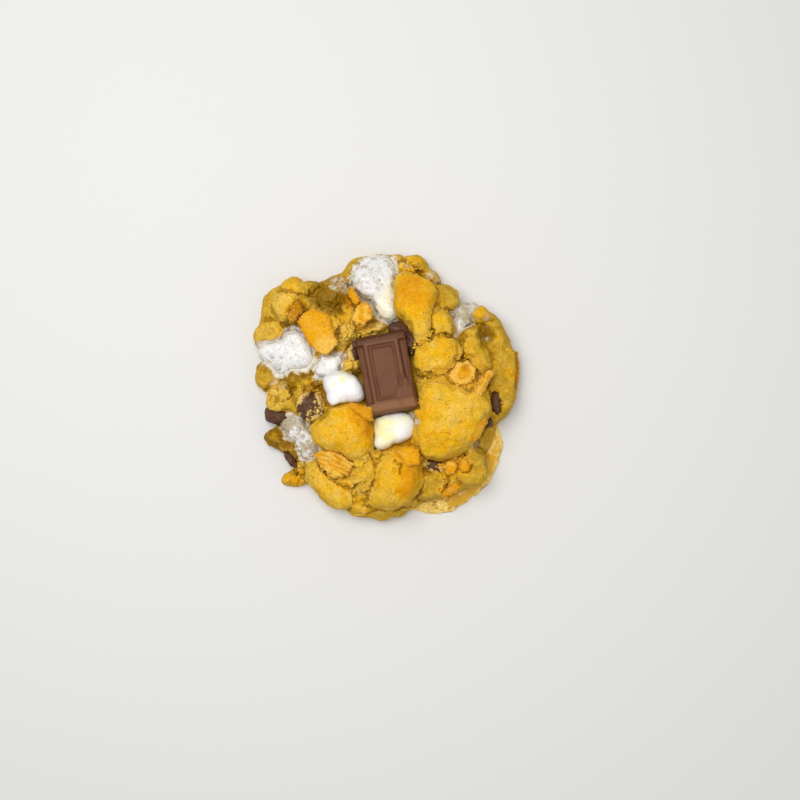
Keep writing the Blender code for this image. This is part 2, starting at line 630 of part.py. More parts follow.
def make_cracker(name, corners, height, rise, thick, collection):
    """A broken slab: its outline drawn from above, carried down by its thickness, with ragged sides."""
    middle = sum((Vector(corner) for corner in corners), Vector((0, 0))) / len(corners)
    bm = bmesh.new()
    face = bm.faces.new([bm.verts.new((x, y, 0.0)) for x, y in corners])
    face.normal_update()
    if face.normal.z < 0:
        face.normal_flip()
    bmesh.ops.subdivide_edges(bm, edges=bm.edges[:], cuts=1)
    for vert in bm.verts:
        vert.co += RAGGED_OUTLINE * sway(vert.co * 0.55)
        vert.co.z = 0.0
    top = bm.faces[:]
    sunk = bmesh.ops.extrude_face_region(bm, geom=top)["geom"]
    bmesh.ops.translate(bm, verts=corners_in(sunk), vec=(0, 0, -thick))
    bmesh.ops.recalc_face_normals(bm, faces=bm.faces[:])
    rim = [edge for edge in bm.edges if all(abs(vert.co.z) < 0.01 for vert in edge.verts)]
    bmesh.ops.bevel(bm, geom=rim, offset=CRACKER_EDGE, offset_type="OFFSET", segments=1, affect="EDGES")
    bmesh.ops.triangulate(bm, faces=bm.faces[:])
    for vert in bm.verts:
        across = Vector((vert.co.x - middle.x, vert.co.y - middle.y))
        vert.co.z += height + across.x * rise[0] + across.y * rise[1]
        vert.co += RAGGED_FACE * sway(vert.co * 0.8)
    bmesh.ops.transform(bm, verts=bm.verts[:], matrix=Matrix.Scale(MM, 4))
    bmesh.ops.recalc_face_normals(bm, faces=bm.faces[:])
    return object_from(bm, name, collection)


def make_foot(collection):
    """Marshmallow that ran out and set at the foot of the cookie: a low band along an arc, flat below."""
    guide = bpy.data.curves.new("melt_foot", "CURVE")
    guide.dimensions = "3D"
    guide.resolution_u = 3
    guide.bevel_depth = FOOT_BAND / 2 * MM
    guide.bevel_resolution = 2
    guide.use_fill_caps = True
    spline = guide.splines.new("BEZIER")
    spline.bezier_points.add(len(MELT_FOOT_ARC) - 1)
    for point, (x, y) in zip(spline.bezier_points, MELT_FOOT_ARC, strict=True):
        point.co = (x * MM, y * MM, 0.0)
        point.handle_left_type = "AUTO"
        point.handle_right_type = "AUTO"
    for end in (spline.bezier_points[0], spline.bezier_points[-1]):
        end.radius = 0.55
    arc = bpy.data.objects.new("melt_foot_arc", guide)
    collection.objects.link(arc)
    graph = bpy.context.evaluated_depsgraph_get()
    graph.update()
    bm = bmesh.new()
    bm.from_mesh(bpy.data.meshes.new_from_object(arc.evaluated_get(graph)))
    bpy.data.objects.remove(arc)
    bmesh.ops.remove_doubles(bm, verts=bm.verts[:], dist=MERGE)
    flatten = FOOT_HEIGHT / (FOOT_BAND / 2)
    for vert in bm.verts:
        ripple = 1.0 + 0.35 * noise.noise(vert.co * 120.0)
        vert.co.z *= flatten * ripple
    obj = object_from(bm, "melt_foot", collection)
    tidy_mesh(obj, on_floor=True)
    return obj


def grown(obj, collection):
    """A copy swollen by the seat gap, which cuts the room that the piece sits in."""
    bm = bmesh.new()
    bm.from_mesh(obj.data)
    bm.normal_update()
    pushed = [vert.co + vert.normal * SEAT_GAP * MM for vert in bm.verts]
    for vert, place in zip(bm.verts, pushed, strict=True):
        vert.co = place
    cutter = object_from(bm, obj.name + "_seat", collection)
    cutter.hide_render = True
    cutter.display_type = "WIRE"
    return cutter


def spans(obj):
    corners = [Vector(corner) for corner in obj.bound_box]
    return [(min(c[k] for c in corners), max(c[k] for c in corners)) for k in range(3)]


def near(one, other):
    return all(a[0] < b[1] and b[0] < a[1] for a, b in zip(spans(one), spans(other), strict=True))


def cut_back(obj, cutters):
    """Takes the seats of the pieces that are already in place out of this one."""
    for cutter in cutters:
        cut = obj.modifiers.new("seat", "BOOLEAN")
        cut.operation = "DIFFERENCE"
        cut.object = cutter
    if cutters:
        bake_modifiers(obj)
        tidy_mesh(obj)


def make_inserts(collection):
    """Everything that sits in the dough, with its finish: hard pieces first, which keep their shape."""
    inserts = [(make_bar(collection), "chocolate")]
    for name, lumps in CHOCOLATE_LUMPS.items():
        inserts.append((fused(name, "dark_chocolate", collection, lumps), "dark_chocolate"))
    for name, (corners, height, rise, thick) in CRACKERS.items():
        inserts.append((make_cracker(name, corners, height, rise, thick, collection), "cracker"))
    for kind, outlines in (("marshmallow", MALLOWS), ("melted_marshmallow", MELTS)):
        for name, outline in outlines.items():
            inserts.append((fused(name, kind, collection, boulders=[outline]), kind))
    inserts.append((make_foot(collection), "run_marshmallow"))
    return inserts


def build():
    for old in list(bpy.data.objects):
        bpy.data.objects.remove(old)
    cookie = new_collection("smores_cookie")
    seats = new_collection("seats")
    seats.hide_render = True
    dough = make_dough(cookie)
    dough.data.materials.append(finish("dough"))
    cutters = []
    for obj, material in make_inserts(cookie):
        cut_back(obj, [cutter for cutter in cutters if near(cutter, obj)])
        obj.data.materials.clear()
        obj.data.materials.append(finish(material))
        cutters.append(grown(obj, seats))
    cut_back(dough, [cutter for cutter in cutters if near(cutter, dough)])
    for obj in cookie.objects:
        obj.data.shade_smooth()
        obj.data.set_sharp_from_angle(angle=math.radians(50))


build()
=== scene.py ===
import json
import math

import bmesh
import bpy
import numpy as np
from mathutils import Matrix, Vector, noise
from mathutils.bvhtree import BVHTree
from mathutils.kdtree import KDTree

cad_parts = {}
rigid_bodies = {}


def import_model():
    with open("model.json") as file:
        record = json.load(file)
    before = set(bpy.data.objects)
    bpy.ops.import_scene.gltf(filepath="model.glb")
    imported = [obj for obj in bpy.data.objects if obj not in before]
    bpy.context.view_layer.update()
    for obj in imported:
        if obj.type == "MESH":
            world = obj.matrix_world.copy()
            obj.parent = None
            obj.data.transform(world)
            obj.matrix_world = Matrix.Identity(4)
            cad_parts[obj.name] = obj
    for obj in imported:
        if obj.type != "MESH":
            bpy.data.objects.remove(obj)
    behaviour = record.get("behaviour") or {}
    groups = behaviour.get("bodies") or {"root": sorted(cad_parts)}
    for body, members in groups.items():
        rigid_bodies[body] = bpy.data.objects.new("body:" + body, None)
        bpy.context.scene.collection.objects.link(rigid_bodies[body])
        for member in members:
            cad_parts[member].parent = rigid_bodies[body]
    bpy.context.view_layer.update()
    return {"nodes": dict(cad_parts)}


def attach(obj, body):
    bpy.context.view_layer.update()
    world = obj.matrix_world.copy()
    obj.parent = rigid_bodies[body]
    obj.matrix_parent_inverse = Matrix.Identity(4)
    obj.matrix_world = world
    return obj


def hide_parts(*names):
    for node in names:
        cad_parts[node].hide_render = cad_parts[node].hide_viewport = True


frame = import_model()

mm = 0.001
skyHeight = 60  # rays are shot down from here
coarse = 1.0
print("frame loaded:", len(frame["nodes"]), "nodes")


# helpers for meshes; lengths in the dictionaries are millimetres

def objectFrom(bm, name):
    mesh = bpy.data.meshes.new(name)
    bm.to_mesh(mesh)
    bm.free()
    obj = bpy.data.objects.new(name, mesh)
    bpy.context.scene.collection.objects.link(obj)
    return obj


def bakeModifiers(obj):
    graph = bpy.context.evaluated_depsgraph_get()
    graph.update()
    baked = bpy.data.meshes.new_from_object(obj.evaluated_get(graph))
    old = obj.data
    obj.modifiers.clear()
    obj.data = baked
    bpy.data.meshes.remove(old)


def readPoints(mesh, what="co"):
    values = np.empty(len(mesh.vertices) * 3)
    mesh.vertices.foreach_get(what, values)
    return values.reshape(-1, 3)


def writePoints(mesh, points):
    mesh.vertices.foreach_set("co", np.ascontiguousarray(points, dtype=np.float32).ravel())
    mesh.update()


def smoothNoise(points, length, shift=0.0):
    # one value a point, from about -1 to 1, that changes over that length
    return np.array([noise.noise(place) for place in (points / (length * mm) + shift).tolist()])


def cellNoise(points, length, shift=0.0):
    # distance to the nearest cell's middle, in cells
    places = (points / (length * mm) + shift).tolist()
    return np.array([noise.voronoi(place)[0][0] for place in places])


def grains(points, length, shift, furrow=0.16):
    # broken crumb: how near to a grain's middle, and how deep in the furrow between two grains
    places = (points / (length * mm) + shift).tolist()
    away = np.array([noise.voronoi(place)[0][:2] for place in places])
    return 0.5 - away[:, 0], np.exp(-(((away[:, 1] - away[:, 0]) / furrow) ** 2))


def ramp(values, low, high):
    t = np.clip((values - low) / (high - low), 0.0, 1.0)
    return t * t * (3.0 - 2.0 * t)


def flatDistance(points, x, y):
    # from a spot, seen from above
    return np.hypot(points[:, 0] / mm - x, points[:, 1] / mm - y)


def spots(points, patches, soft=0.45):
    # 1 in the middle of each patch seen from above, 0 outside it
    # a patch is x, y, radius and maybe a strength
    best = np.zeros(len(points))
    for x, y, radius, *strength in patches:
        inside = 1.0 - ramp(flatDistance(points, x, y) / radius, 1.0 - soft, 1.0 + soft)
        best = np.maximum(best, inside * (strength[0] if strength else 1.0))
    return best


def distanceToLine(points, line):
    flat = points[:, :2] / mm
    best = np.full(len(flat), 1e9)
    for start, end in zip(line, line[1:]):
        a, b = np.array(start), np.array(end)
        along = np.clip(((flat - a) @ (b - a)) / ((b - a) @ (b - a)), 0.0, 1.0)
        best = np.minimum(best, np.linalg.norm(flat - a - along[:, None] * (b - a), axis=1))
    return best


def pushedOut(points, normals, height):
    return points + normals * (height * mm)[:, None]


def paint(obj, name, values):
    layer = obj.data.attributes.get(name) or obj.data.attributes.new(name, "FLOAT", "POINT")
    layer.data.foreach_set("value", np.ascontiguousarray(values, dtype=np.float32))


def triangleCount(mesh):
    mesh.calc_loop_triangles()
    return len(mesh.loop_triangles)


def thinOut(obj, triangles):
    count = triangleCount(obj.data)
    if count > triangles:
        thin = obj.modifiers.new("thin out", "DECIMATE")
        thin.ratio = triangles / count
        bakeModifiers(obj)


def edgeEnds(mesh):
    ends = np.empty(len(mesh.edges) * 2, dtype=np.int64)
    mesh.edges.foreach_get("vertices", ends)
    return ends.reshape(-1, 2)


def blur(values, ends, rounds):
    # spreads values to the neighbouring points
    count = len(values)
    share = np.bincount(ends.ravel(), minlength=count) + 1.0
    for _ in range(rounds):
        total = values.copy()
        total += np.bincount(ends[:, 0], weights=values[ends[:, 1]], minlength=count)
        total += np.bincount(ends[:, 1], weights=values[ends[:, 0]], minlength=count)
        values = total / share
    return values


def evenedOut(points, ends, radius, voxel):
    # the points with what is narrower than the radius smoothed away; a round spreads about 0.63 of a voxel
    rounds = round((radius / (voxel * coarse)) ** 2 / 0.4)
    return np.stack([blur(points[:, axis], ends, rounds) for axis in range(3)], axis=1)


def treeOf(points):
    tree = KDTree(len(points))
    for number, place in enumerate(points.tolist()):
        tree.insert(place, number)
    tree.balance()
    return tree


def nearestNumber(tree, points):
    return np.array([tree.find(place)[1] for place in points.tolist()])


def nearestDistance(tree, points):
    return np.array([tree.find(place)[2] for place in points.tolist()]) / mm


lumpShape = {"subdivisions": 5, "lumpSwell": 0.13, "squareness": 0.25, "boulderSwell": 0.05, "fullness": 3.4}


def swelling(place, seed, share):
    # how much a lump bulges there: 1 and a little more or less
    shift = Vector((seed * 3.7, seed * -1.9, seed * 5.3))
    return 1.0 + share * (noise.noise(place * 1.4 + shift) + 0.4 * noise.noise(place * 3.2 + shift))


def addLump(bm, lump, seed, subdivisions=lumpShape["subdivisions"]):
    # a rounded block: x, y, top, half sizes along x, y and z, turn in degrees
    x, y, top, halfX, halfY, halfZ, turn = lump[:7]
    ball = bmesh.ops.create_icosphere(bm, subdivisions=subdivisions, radius=1.0)["verts"]
    place = (
        Matrix.Translation(Vector((x, y, top - halfZ)) * mm)
        @ Matrix.Rotation(math.radians(turn), 4, "Z")
        @ Matrix.Diagonal((halfX * mm, halfY * mm, halfZ * mm, 1.0))
    )
    for vert in ball:
        corner = max(abs(c) for c in vert.co) ** -0.5 - 1.0
        squared = 1.0 + lumpShape["squareness"] * corner
        vert.co = place @ (vert.co * swelling(vert.co, seed, lumpShape["lumpSwell"]) * squared)


def spokesOf(corners, middle):
    # direction and distance of each corner from the middle, once round and a corner on at both ends
    ways = [Vector(corner) - middle for corner in corners]
    found = sorted((math.atan2(way.y, way.x), way.length) for way in ways)
    before, after = found[-1], found[0]
    return [(before[0] - math.tau, before[1]), *found, (after[0] + math.tau, after[1])]


def reach(spokes, angle):
    after = next(number for number, spoke in enumerate(spokes) if spoke[0] > angle)
    (start, nearReach), (end, farReach) = spokes[after - 1], spokes[after]
    return nearReach + (farReach - nearReach) * (angle - start) / (end - start)


def addBoulder(bm, boulder, seed):
    # a cushion whose outline from above runs through the corners, with a flat top that may slope
    corners, top, halfZ, rise = boulder[:4]
    middle = sum((Vector(corner) for corner in corners), Vector((0, 0))) / len(corners)
    spokes = spokesOf(corners, middle)
    fullness = lumpShape["fullness"]
    ball = bmesh.ops.create_icosphere(bm, subdivisions=lumpShape["subdivisions"], radius=1.0)["verts"]
    for vert in ball:
        way = vert.co.copy()
        out = math.hypot(way.x, way.y)
        full = (out ** fullness + abs(way.z) ** fullness) ** (-1.0 / fullness)
        full *= swelling(way, seed, lumpShape["boulderSwell"])
        across = Vector((way.x, way.y)) * full * reach(spokes, math.atan2(way.y, way.x))
        slope = max(way.z, 0.0) * (across.x * rise[0] + across.y * rise[1])
        height = top - halfZ + way.z * full * halfZ + slope
        vert.co = Vector((middle.x + across.x, middle.y + across.y, height)) * mm


def oneSkin(obj, voxel, smoothing):
    skin = obj.modifiers.new("one skin", "REMESH")
    skin.mode = "VOXEL"
    skin.voxel_size = voxel * coarse * mm
    if smoothing:
        soften = obj.modifiers.new("soften", "SMOOTH")
        soften.factor = 0.5
        soften.iterations = max(1, round(smoothing / coarse ** 2))
    bakeModifiers(obj)


def objectName(node):
    return node.replace("_", "")


def finishPiece(piece, slot, material, *nodes):
    piece.data.materials.clear()
    piece.data.materials.append(material)
    piece.data.shade_smooth()
    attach(piece, "root")
    if nodes:
        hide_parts(*nodes)
    print("  ", piece.name, triangleCount(piece.data), "triangles")


# helpers for materials

def newMaterial(name):
    material = bpy.data.materials.new(name)
    material.use_nodes = True
    return material, material.node_tree, material.node_tree.nodes["Principled BSDF"]


def connect(tree, source, target):
    if isinstance(source, bpy.types.NodeSocket):
        tree.links.new(source, target)
    else:
        target.default_value = source


def objectNoise(tree, length, detail=3.0, rough=0.55):
    # a noise texture whose lumps are about that many millimetres
    texture = tree.nodes.new("ShaderNodeTexNoise")
    texture.inputs["Scale"].default_value = 1.0 / (length * mm)
    texture.inputs["Detail"].default_value = detail
    texture.inputs["Roughness"].default_value = rough
    tree.links.new(tree.nodes.new("ShaderNodeTexCoord").outputs["Object"], texture.inputs["Vector"])
    return texture.outputs["Fac"]


def objectCells(tree, length):
    # distance to the middle of the nearest cell, in cells
    texture = tree.nodes.new("ShaderNodeTexVoronoi")
    texture.inputs["Scale"].default_value = 1.0 / (length * mm)
    tree.links.new(tree.nodes.new("ShaderNodeTexCoord").outputs["Object"], texture.inputs["Vector"])
    return texture.outputs["Distance"]


def objectFurrows(tree, length, width, sway=0.35):
    # 1 in the furrows between cells whose shapes are pushed about a little
    place = tree.nodes.new("ShaderNodeTexCoord").outputs["Object"]
    push = tree.nodes.new("ShaderNodeTexNoise")
    push.inputs["Scale"].default_value = 1.6 / (length * mm)
    tree.links.new(place, push.inputs["Vector"])
    moved = tree.nodes.new("ShaderNodeVectorMath")
    moved.operation = "MULTIPLY_ADD"
    tree.links.new(push.outputs["Color"], moved.inputs[0])
    moved.inputs[1].default_value = (sway * length * mm,) * 3
    tree.links.new(place, moved.inputs[2])
    texture = tree.nodes.new("ShaderNodeTexVoronoi")
    texture.feature = "DISTANCE_TO_EDGE"
    texture.inputs["Scale"].default_value = 1.0 / (length * mm)
    tree.links.new(moved.outputs["Vector"], texture.inputs["Vector"])
    return stretchTo(tree, texture.outputs["Distance"], width, 0.0)


def attributeValue(tree, name):
    node = tree.nodes.new("ShaderNodeAttribute")
    node.attribute_name = name
    return node.outputs["Fac"]


def maths(tree, operation, first, second=0.0, clamp=False):
    node = tree.nodes.new("ShaderNodeMath")
    node.operation = operation
    node.use_clamp = clamp
    connect(tree, first, node.inputs[0])
    connect(tree, second, node.inputs[1])
    return node.outputs[0]


def stretchTo(tree, value, low, high, newLow=0.0, newHigh=1.0):
    node = tree.nodes.new("ShaderNodeMapRange")
    node.interpolation_type = "SMOOTHSTEP"
    connect(tree, value, node.inputs["Value"])
    node.inputs["From Min"].default_value = low
    node.inputs["From Max"].default_value = high
    node.inputs["To Min"].default_value = newLow
    node.inputs["To Max"].default_value = newHigh
    return node.outputs["Result"]


def spread(tree, texture, low=0.0, high=1.0):
    # most of a noise lies between 0.3 and 0.7, and this takes it from low to high
    return stretchTo(tree, texture, 0.3, 0.7, low, high)


def share(tree, name, part):
    # that part of a painted attribute
    return maths(tree, "MULTIPLY", attributeValue(tree, name), part)


def mixColours(tree, factor, first, second, blend="MIX"):
    node = tree.nodes.new("ShaderNodeMix")
    node.data_type = "RGBA"
    node.blend_type = blend
    connect(tree, factor, node.inputs["Factor"])
    colourSockets = [socket for socket in node.inputs if socket.type == "RGBA"]
    for value, socket in zip((first, second), colourSockets):
        connect(tree, value if isinstance(value, bpy.types.NodeSocket) else (*value, 1.0), socket)
    return next(socket for socket in node.outputs if socket.type == "RGBA")


def shaded(tree, colour, value):
    # the colour made lighter or darker by that value
    node = tree.nodes.new("ShaderNodeCombineColor")
    for socket in node.inputs:
        tree.links.new(value, socket)
    return mixColours(tree, 1.0, colour, node.outputs[0], "MULTIPLY")


def bumpFrom(tree, height, depth, strength=1.0, under=None):
    node = tree.nodes.new("ShaderNodeBump")
    node.inputs["Strength"].default_value = strength
    node.inputs["Distance"].default_value = depth * mm
    connect(tree, height, node.inputs["Height"])
    if under:
        connect(tree, under, node.inputs["Normal"])
    return node.outputs["Normal"]


def translucent(shader, weight, radius, scale):
    shader.inputs["Subsurface Weight"].default_value = weight
    shader.inputs["Subsurface Radius"].default_value = radius
    shader.inputs["Subsurface Scale"].default_value = scale * mm


def finishShader(tree, shader, colour, roughness, normal):
    tree.links.new(colour, shader.inputs["Base Color"])
    tree.links.new(roughness, shader.inputs["Roughness"])
    tree.links.new(normal, shader.inputs["Normal"])


# baked dough

# corners of the outline seen from above, top, half height, rise of the top per mm in x and y,
# tone of the crust
doughBoulders = {
    "bigRight": (
        [
            (13.5, 3.5), (19.5, 4), (23.5, 3), (27.5, 0), (32.5, -1), (38, -1), (41, -7), (37.5, -15),
            (34.5, -20.5), (28.5, -26), (22.5, -28.5), (15, -27), (10, -21), (11, -15), (10, -10), (13, -5),
            (12, 0),
        ],
        29.6, 17.0, (-0.07, 0.05), "golden",
    ),
    "middle": (
        [
            (10.5, 14), (11.5, 15.5), (15.5, 16), (17.5, 18.5), (20, 19.5), (24, 19.5), (27.5, 16.5),
            (28.5, 13), (28, 9.5), (25.5, 6.5), (22.5, 5), (18.5, 5), (15.5, 4), (12.5, 5), (11, 9),
        ],
        27.5, 14.0, (0.0, 0.04), "golden",
    ),
    "upperBoot": (
        [
            (3.5, 42.5), (5.5, 44), (11, 43.5), (15, 42), (18, 40), (19.5, 37), (19.5, 32.5), (18.5, 29),
            (17, 26), (16.5, 23), (18, 20), (17.5, 17.5), (13.5, 16.5), (11, 18), (9.5, 21), (8.5, 24),
            (5, 26), (3, 29.5), (2.5, 32), (3.5, 36),
        ],
        28.5, 16.0, (0.0, 0.0), "golden",
    ),
    "upperNeck": (
        [
            (18, 28.5), (20.5, 29.5), (23.5, 29), (25.5, 25.5), (26.5, 22), (25.5, 19.5), (20, 19.5),
            (18, 19), (17, 22.5), (17.5, 26),
        ],
        25.0, 13.0, (-0.05, -0.15), "golden",
    ),
    "upperOuter": (
        [
            (19.5, 38.5), (22, 40), (25, 39.5), (28.5, 35), (29, 33), (26, 30), (21, 30), (19.5, 31.5),
            (19.5, 35),
        ],
        18.5, 12.0, (-0.25, -0.2), "rim",
    ),
    "rightRidge": (
        [
            (29, 18), (29.5, 21.5), (31.5, 23.5), (35, 23.5), (36.5, 20), (37, 16), (39.5, 12), (41, 9),
            (41.5, 6), (38, 5), (35, 5.5), (33.5, 9.5), (31, 11), (30.5, 15),
        ],
        23.0, 13.0, (-0.1, 0.05), "golden",
    ),
    "rightRim": (
        [
            (40.5, 30), (43.5, 28), (46.5, 22), (49.5, 16), (51, 10), (50.5, 3.5), (46.5, 5.5), (42.5, 7),
            (41, 11), (39.5, 15), (39, 20), (40, 25),
        ],
        17.5, 11.0, (-0.2, 0.0), "rim",
    ),
    "rightRimLow": (
        [
            (41.5, 6), (46, 6), (50.5, 4), (51, -1), (50, -6), (48, -10.5), (45, -13), (42.5, -14.5),
            (41.5, -12), (43, -8), (43, -4), (41, -1.5), (40, 2),
        ],
        16.5, 10.0, (-0.2, 0.1), "rim",
    ),
    "lowerRightOuter": (
        [
            (30, -25.5), (34, -24.5), (37.5, -26), (39.5, -30), (39.5, -34), (38, -37.5), (33, -39.5),
            (29.5, -39), (28, -36), (28, -33), (29.5, -30), (28.5, -27.5),
        ],
        18.0, 11.0, (-0.1, 0.1), "rim",
    ),
    "lowerRightInner": (
        [
            (14, -31.5), (20, -31), (24, -33.5), (25, -37), (23, -41.5), (19, -44), (14, -44.5), (12.5, -42),
            (14, -38),
        ],
        16.0, 11.0, (0.0, 0.15), "rim",
    ),
    "bottomBoulder": (
        [
            (-1, -25.5), (4.5, -23), (9, -22.5), (12.5, -25.5), (13, -29), (14, -33), (13, -38), (10, -43),
            (5, -47), (-1, -48), (-5, -47), (-7.5, -44), (-6.5, -41), (-4, -38), (-3.5, -33), (-3, -28.5),
        ],
        25.0, 16.0, (0.05, 0.12), "golden",
    ),
    "bottomLedge": (
        [
            (-14.5, -47), (-13, -51), (-6, -51.9), (2, -51.6), (9, -49.2), (15, -45), (13, -41), (5, -45),
            (-8, -45),
        ],
        10.0, 8.0, (0.0, 0.15), "rim",
    ),
    "leftBoulder": (
        [
            (-29.5, -16), (-25.5, -11.5), (-21.5, -8), (-17.5, -6.5), (-10, -6), (-5.5, -8.5), (-5.5, -13),
            (-4.5, -17), (-5, -23), (-7, -26), (-9, -28.5), (-13, -28), (-17, -25.5), (-22, -25),
            (-26, -22.5), (-29, -18.5),
        ],
        27.8, 16.0, (0.09, 0.08), "golden",
    ),
    "lowerLeft": (
        [
            (-31, -29.5), (-27, -28.5), (-25, -32), (-21, -35.5), (-17, -36.5), (-14, -39.5), (-11, -40.5),
            (-10.5, -44.5), (-13, -48), (-19, -48.5), (-24, -45.5), (-27.5, -41), (-31, -37), (-32, -33),
        ],
        17.0, 12.0, (0.05, 0.12), "golden",
    ),
    "upperLeftCrown": (
        [
            (-41.5, 39), (-40, 42), (-37, 43.5), (-34.5, 42.5), (-32.5, 39.5), (-30.5, 36.5), (-33, 35.5),
            (-36, 37.5), (-40, 37.5),
        ],
        16.5, 10.0, (0.0, -0.2), "golden",
    ),
    "upperLeftCrumb": (
        [
            (-45, 33), (-44, 36), (-42, 37.5), (-38, 37.5), (-33, 35.5), (-34.5, 33), (-37, 30.5), (-38, 27),
            (-39.5, 25.5), (-41.5, 27.5), (-44, 30),
        ],
        17.5, 11.0, (0.15, 0.0), "pale",
    ),
    "upperLeftSkirt": (
        [
            (-43.5, 40.5), (-47, 37.5), (-49, 32.5), (-50, 27), (-47.5, 25), (-42, 25), (-36, 25), (-33, 30),
            (-33, 37), (-38, 41),
        ],
        12.0, 10.0, (0.15, 0.0), "rim",
    ),
    "leftKnob": (
        [
            (-52.4, 22), (-49.6, 25), (-45, 26), (-41, 24), (-38, 22.5), (-41, 19.5), (-45, 17.5),
            (-48, 15.5), (-51, 15.5), (-52.4, 18.5),
        ],
        13.5, 10.0, (0.15, 0.1), "golden",
    ),
}

# x, y, top, half sizes along x, y and z, turn in degrees, tone of the crust
doughLumps = {
    "core": (0.0, 0.0, 16.0, 45.0, 45.0, 15.0, 0, "rim"),
    "rightBody": (27.0, -5.5, 25.0, 13.0, 20.0, 18.0, 0, "golden"),
    "middleBody": (20.0, 13.0, 24.0, 9.0, 9.5, 15.0, 0, "golden"),
    "upperBody": (13.5, 28.5, 24.5, 7.5, 13.5, 16.0, 0, "golden"),
    "leftBody": (-16.0, -18.0, 23.5, 12.5, 10.0, 15.0, 0, "golden"),
    "lowerBody": (-7.5, -35.0, 18.5, 19.5, 12.5, 14.0, 0, "rim"),
    "lowerRightBody": (24.0, -33.0, 15.0, 14.5, 9.5, 12.0, 12, "rim"),
    "rightLowBody": (38.5, 10.0, 16.0, 9.5, 18.0, 13.0, 14, "rim"),
    "leftLowBody": (-37.0, 8.0, 9.0, 12.0, 24.0, 8.0, 0, "rim"),
    "rightKnob": (36.8, 28.4, 18.0, 4.0, 3.1, 9.0, -20, "golden"),
    "lowerRightWedge": (27.0, -38.6, 15.0, 4.4, 3.2, 8.0, 28, "rim"),
    "bottomCrumbUpper": (-9.6, -41.6, 16.0, 3.6, 3.2, 8.0, 0, "golden"),
    "bottomCrumbLower": (-10.5, -47.2, 13.5, 4.4, 4.2, 9.0, 0, "golden"),
    "crumbBelowMallow": (-4.2, -26.6, 21.5, 2.7, 2.1, 8.0, 0, "golden"),
    "leftBoulderToe": (-9.0, -29.0, 21.5, 5.4, 4.6, 12.0, 0, "golden"),
    "toeLower": (-9.2, -34.0, 19.5, 5.4, 3.8, 11.0, 0, "golden"),
    "underCrackerKnob": (-14.2, -37.0, 18.5, 3.6, 2.7, 9.0, -20, "golden"),
    "behindCracker": (-21.8, 26.0, 21.5, 6.4, 4.6, 12.0, -38, "golden"),
    "upperMiddleRidge": (-14.6, 31.0, 20.0, 2.8, 7.5, 12.0, 8, "golden"),
    "crumbByBar": (-14.6, 19.8, 22.0, 4.2, 4.6, 12.0, 0, "golden"),
    "crumbAboveBar": (-5.0, 22.4, 20.5, 7.0, 2.6, 10.0, 8, "golden"),
    "betweenMallows": (-13.8, 8.2, 22.5, 4.4, 4.0, 12.0, 0, "golden"),
    "upperLeftButton": (-30.0, 39.7, 13.0, 3.0, 2.8, 8.0, 0, "rim"),
    "upperLeftStep": (-30.2, 32.0, 15.5, 4.0, 3.0, 9.0, 0, "rim"),
    "leftCaramel": (-47.0, 5.0, 10.5, 5.2, 6.2, 8.0, 0, "rim"),
    "leftWet": (-36.0, 3.6, 13.5, 6.5, 4.6, 10.0, 0, "caramel"),
    "leftBump": (-41.4, -2.2, 13.0, 5.8, 3.4, 9.0, 0, "golden"),
    "leftFlap": (-43.0, -6.4, 13.5, 4.4, 3.0, 4.0, 0, "rim"),
    "leftFlapRidge": (-35.8, -8.6, 14.0, 2.2, 5.4, 9.0, 28, "rim"),
    "leftChipHood": (-29.0, 2.2, 18.5, 4.4, 2.2, 10.0, 22, "golden"),
    "leftChipSide": (-33.6, -3.6, 16.0, 2.8, 2.8, 9.0, 0, "rim"),
    "lowerLeftScorched": (-43.0, -20.0, 9.0, 6.0, 4.0, 7.0, 4, "caramel"),
    "lowerLeftSticky": (-37.4, -24.6, 9.5, 5.6, 4.0, 7.5, -30, "caramel"),
    "lowerLeftSpur": (-36.4, -36.6, 6.5, 6.2, 3.3, 5.5, 8, "rim"),
    "lowerLeftNub": (-33.0, -31.4, 10.0, 3.6, 3.2, 8.0, 0, "rim"),
    "topRimLeft": (-14.0, 45.6, 13.5, 2.8, 6.0, 10.0, -32, "rim"),
    "topRim": (-6.0, 50.2, 10.0, 6.4, 2.6, 8.0, 10, "rim"),
    "topRimButton": (4.0, 50.4, 12.0, 3.6, 2.6, 9.0, 0, "golden"),
    "topRimRight": (11.0, 49.2, 12.5, 5.2, 3.2, 9.0, -8, "rim"),
    "topRimStep": (7.6, 46.4, 16.5, 4.4, 2.6, 9.0, 0, "golden"),
    "topRimEnd": (17.6, 43.6, 10.5, 4.2, 3.0, 8.0, -42, "rim"),
    "upperValley": (-21.5, 35.5, 11.0, 9.5, 7.0, 10.0, 20, "caramel"),
    "upperValleyLip": (-21.0, 41.2, 9.0, 8.0, 3.0, 8.0, 24, "rim"),
}

doughShape = {
    "voxel": 0.34,
    "triangles": 198000,
    "smoothing": 12,
    "gapsClosed": 2.6,
    "fillRadius": 2.6,
    "fillShare": 0.8,
    "cragLength": 9.0,
    "cragDepth": 0.7,
    "billowLength": 5.5,
    "billowDepth": 0.55,
    "creaseWidth": 0.45,
    "creaseDepth": 1.5,
    "knobLength": 2.8,
    "knobDepth": 0.26,
    "crumbLength": 1.4,
    "crumbDepth": 0.13,
    "hairlineShare": 0.4,
    "wander": 1.9,
    "lumpLength": 4.6,
    "lumpDepth": 1.1,
    "lumpFurrow": 0.7,
    "bitLength": 2.1,
    "bitDepth": 0.4,
    "bitFurrow": 0.18,
    "pitLength": 2.4,
    "pitDepth": 0.5,
    "crackWidth": 0.4,
    "crackDepth": 1.6,
    "cavityRadius": 1.1,
    "fadeFromFloor": 2.5,
}

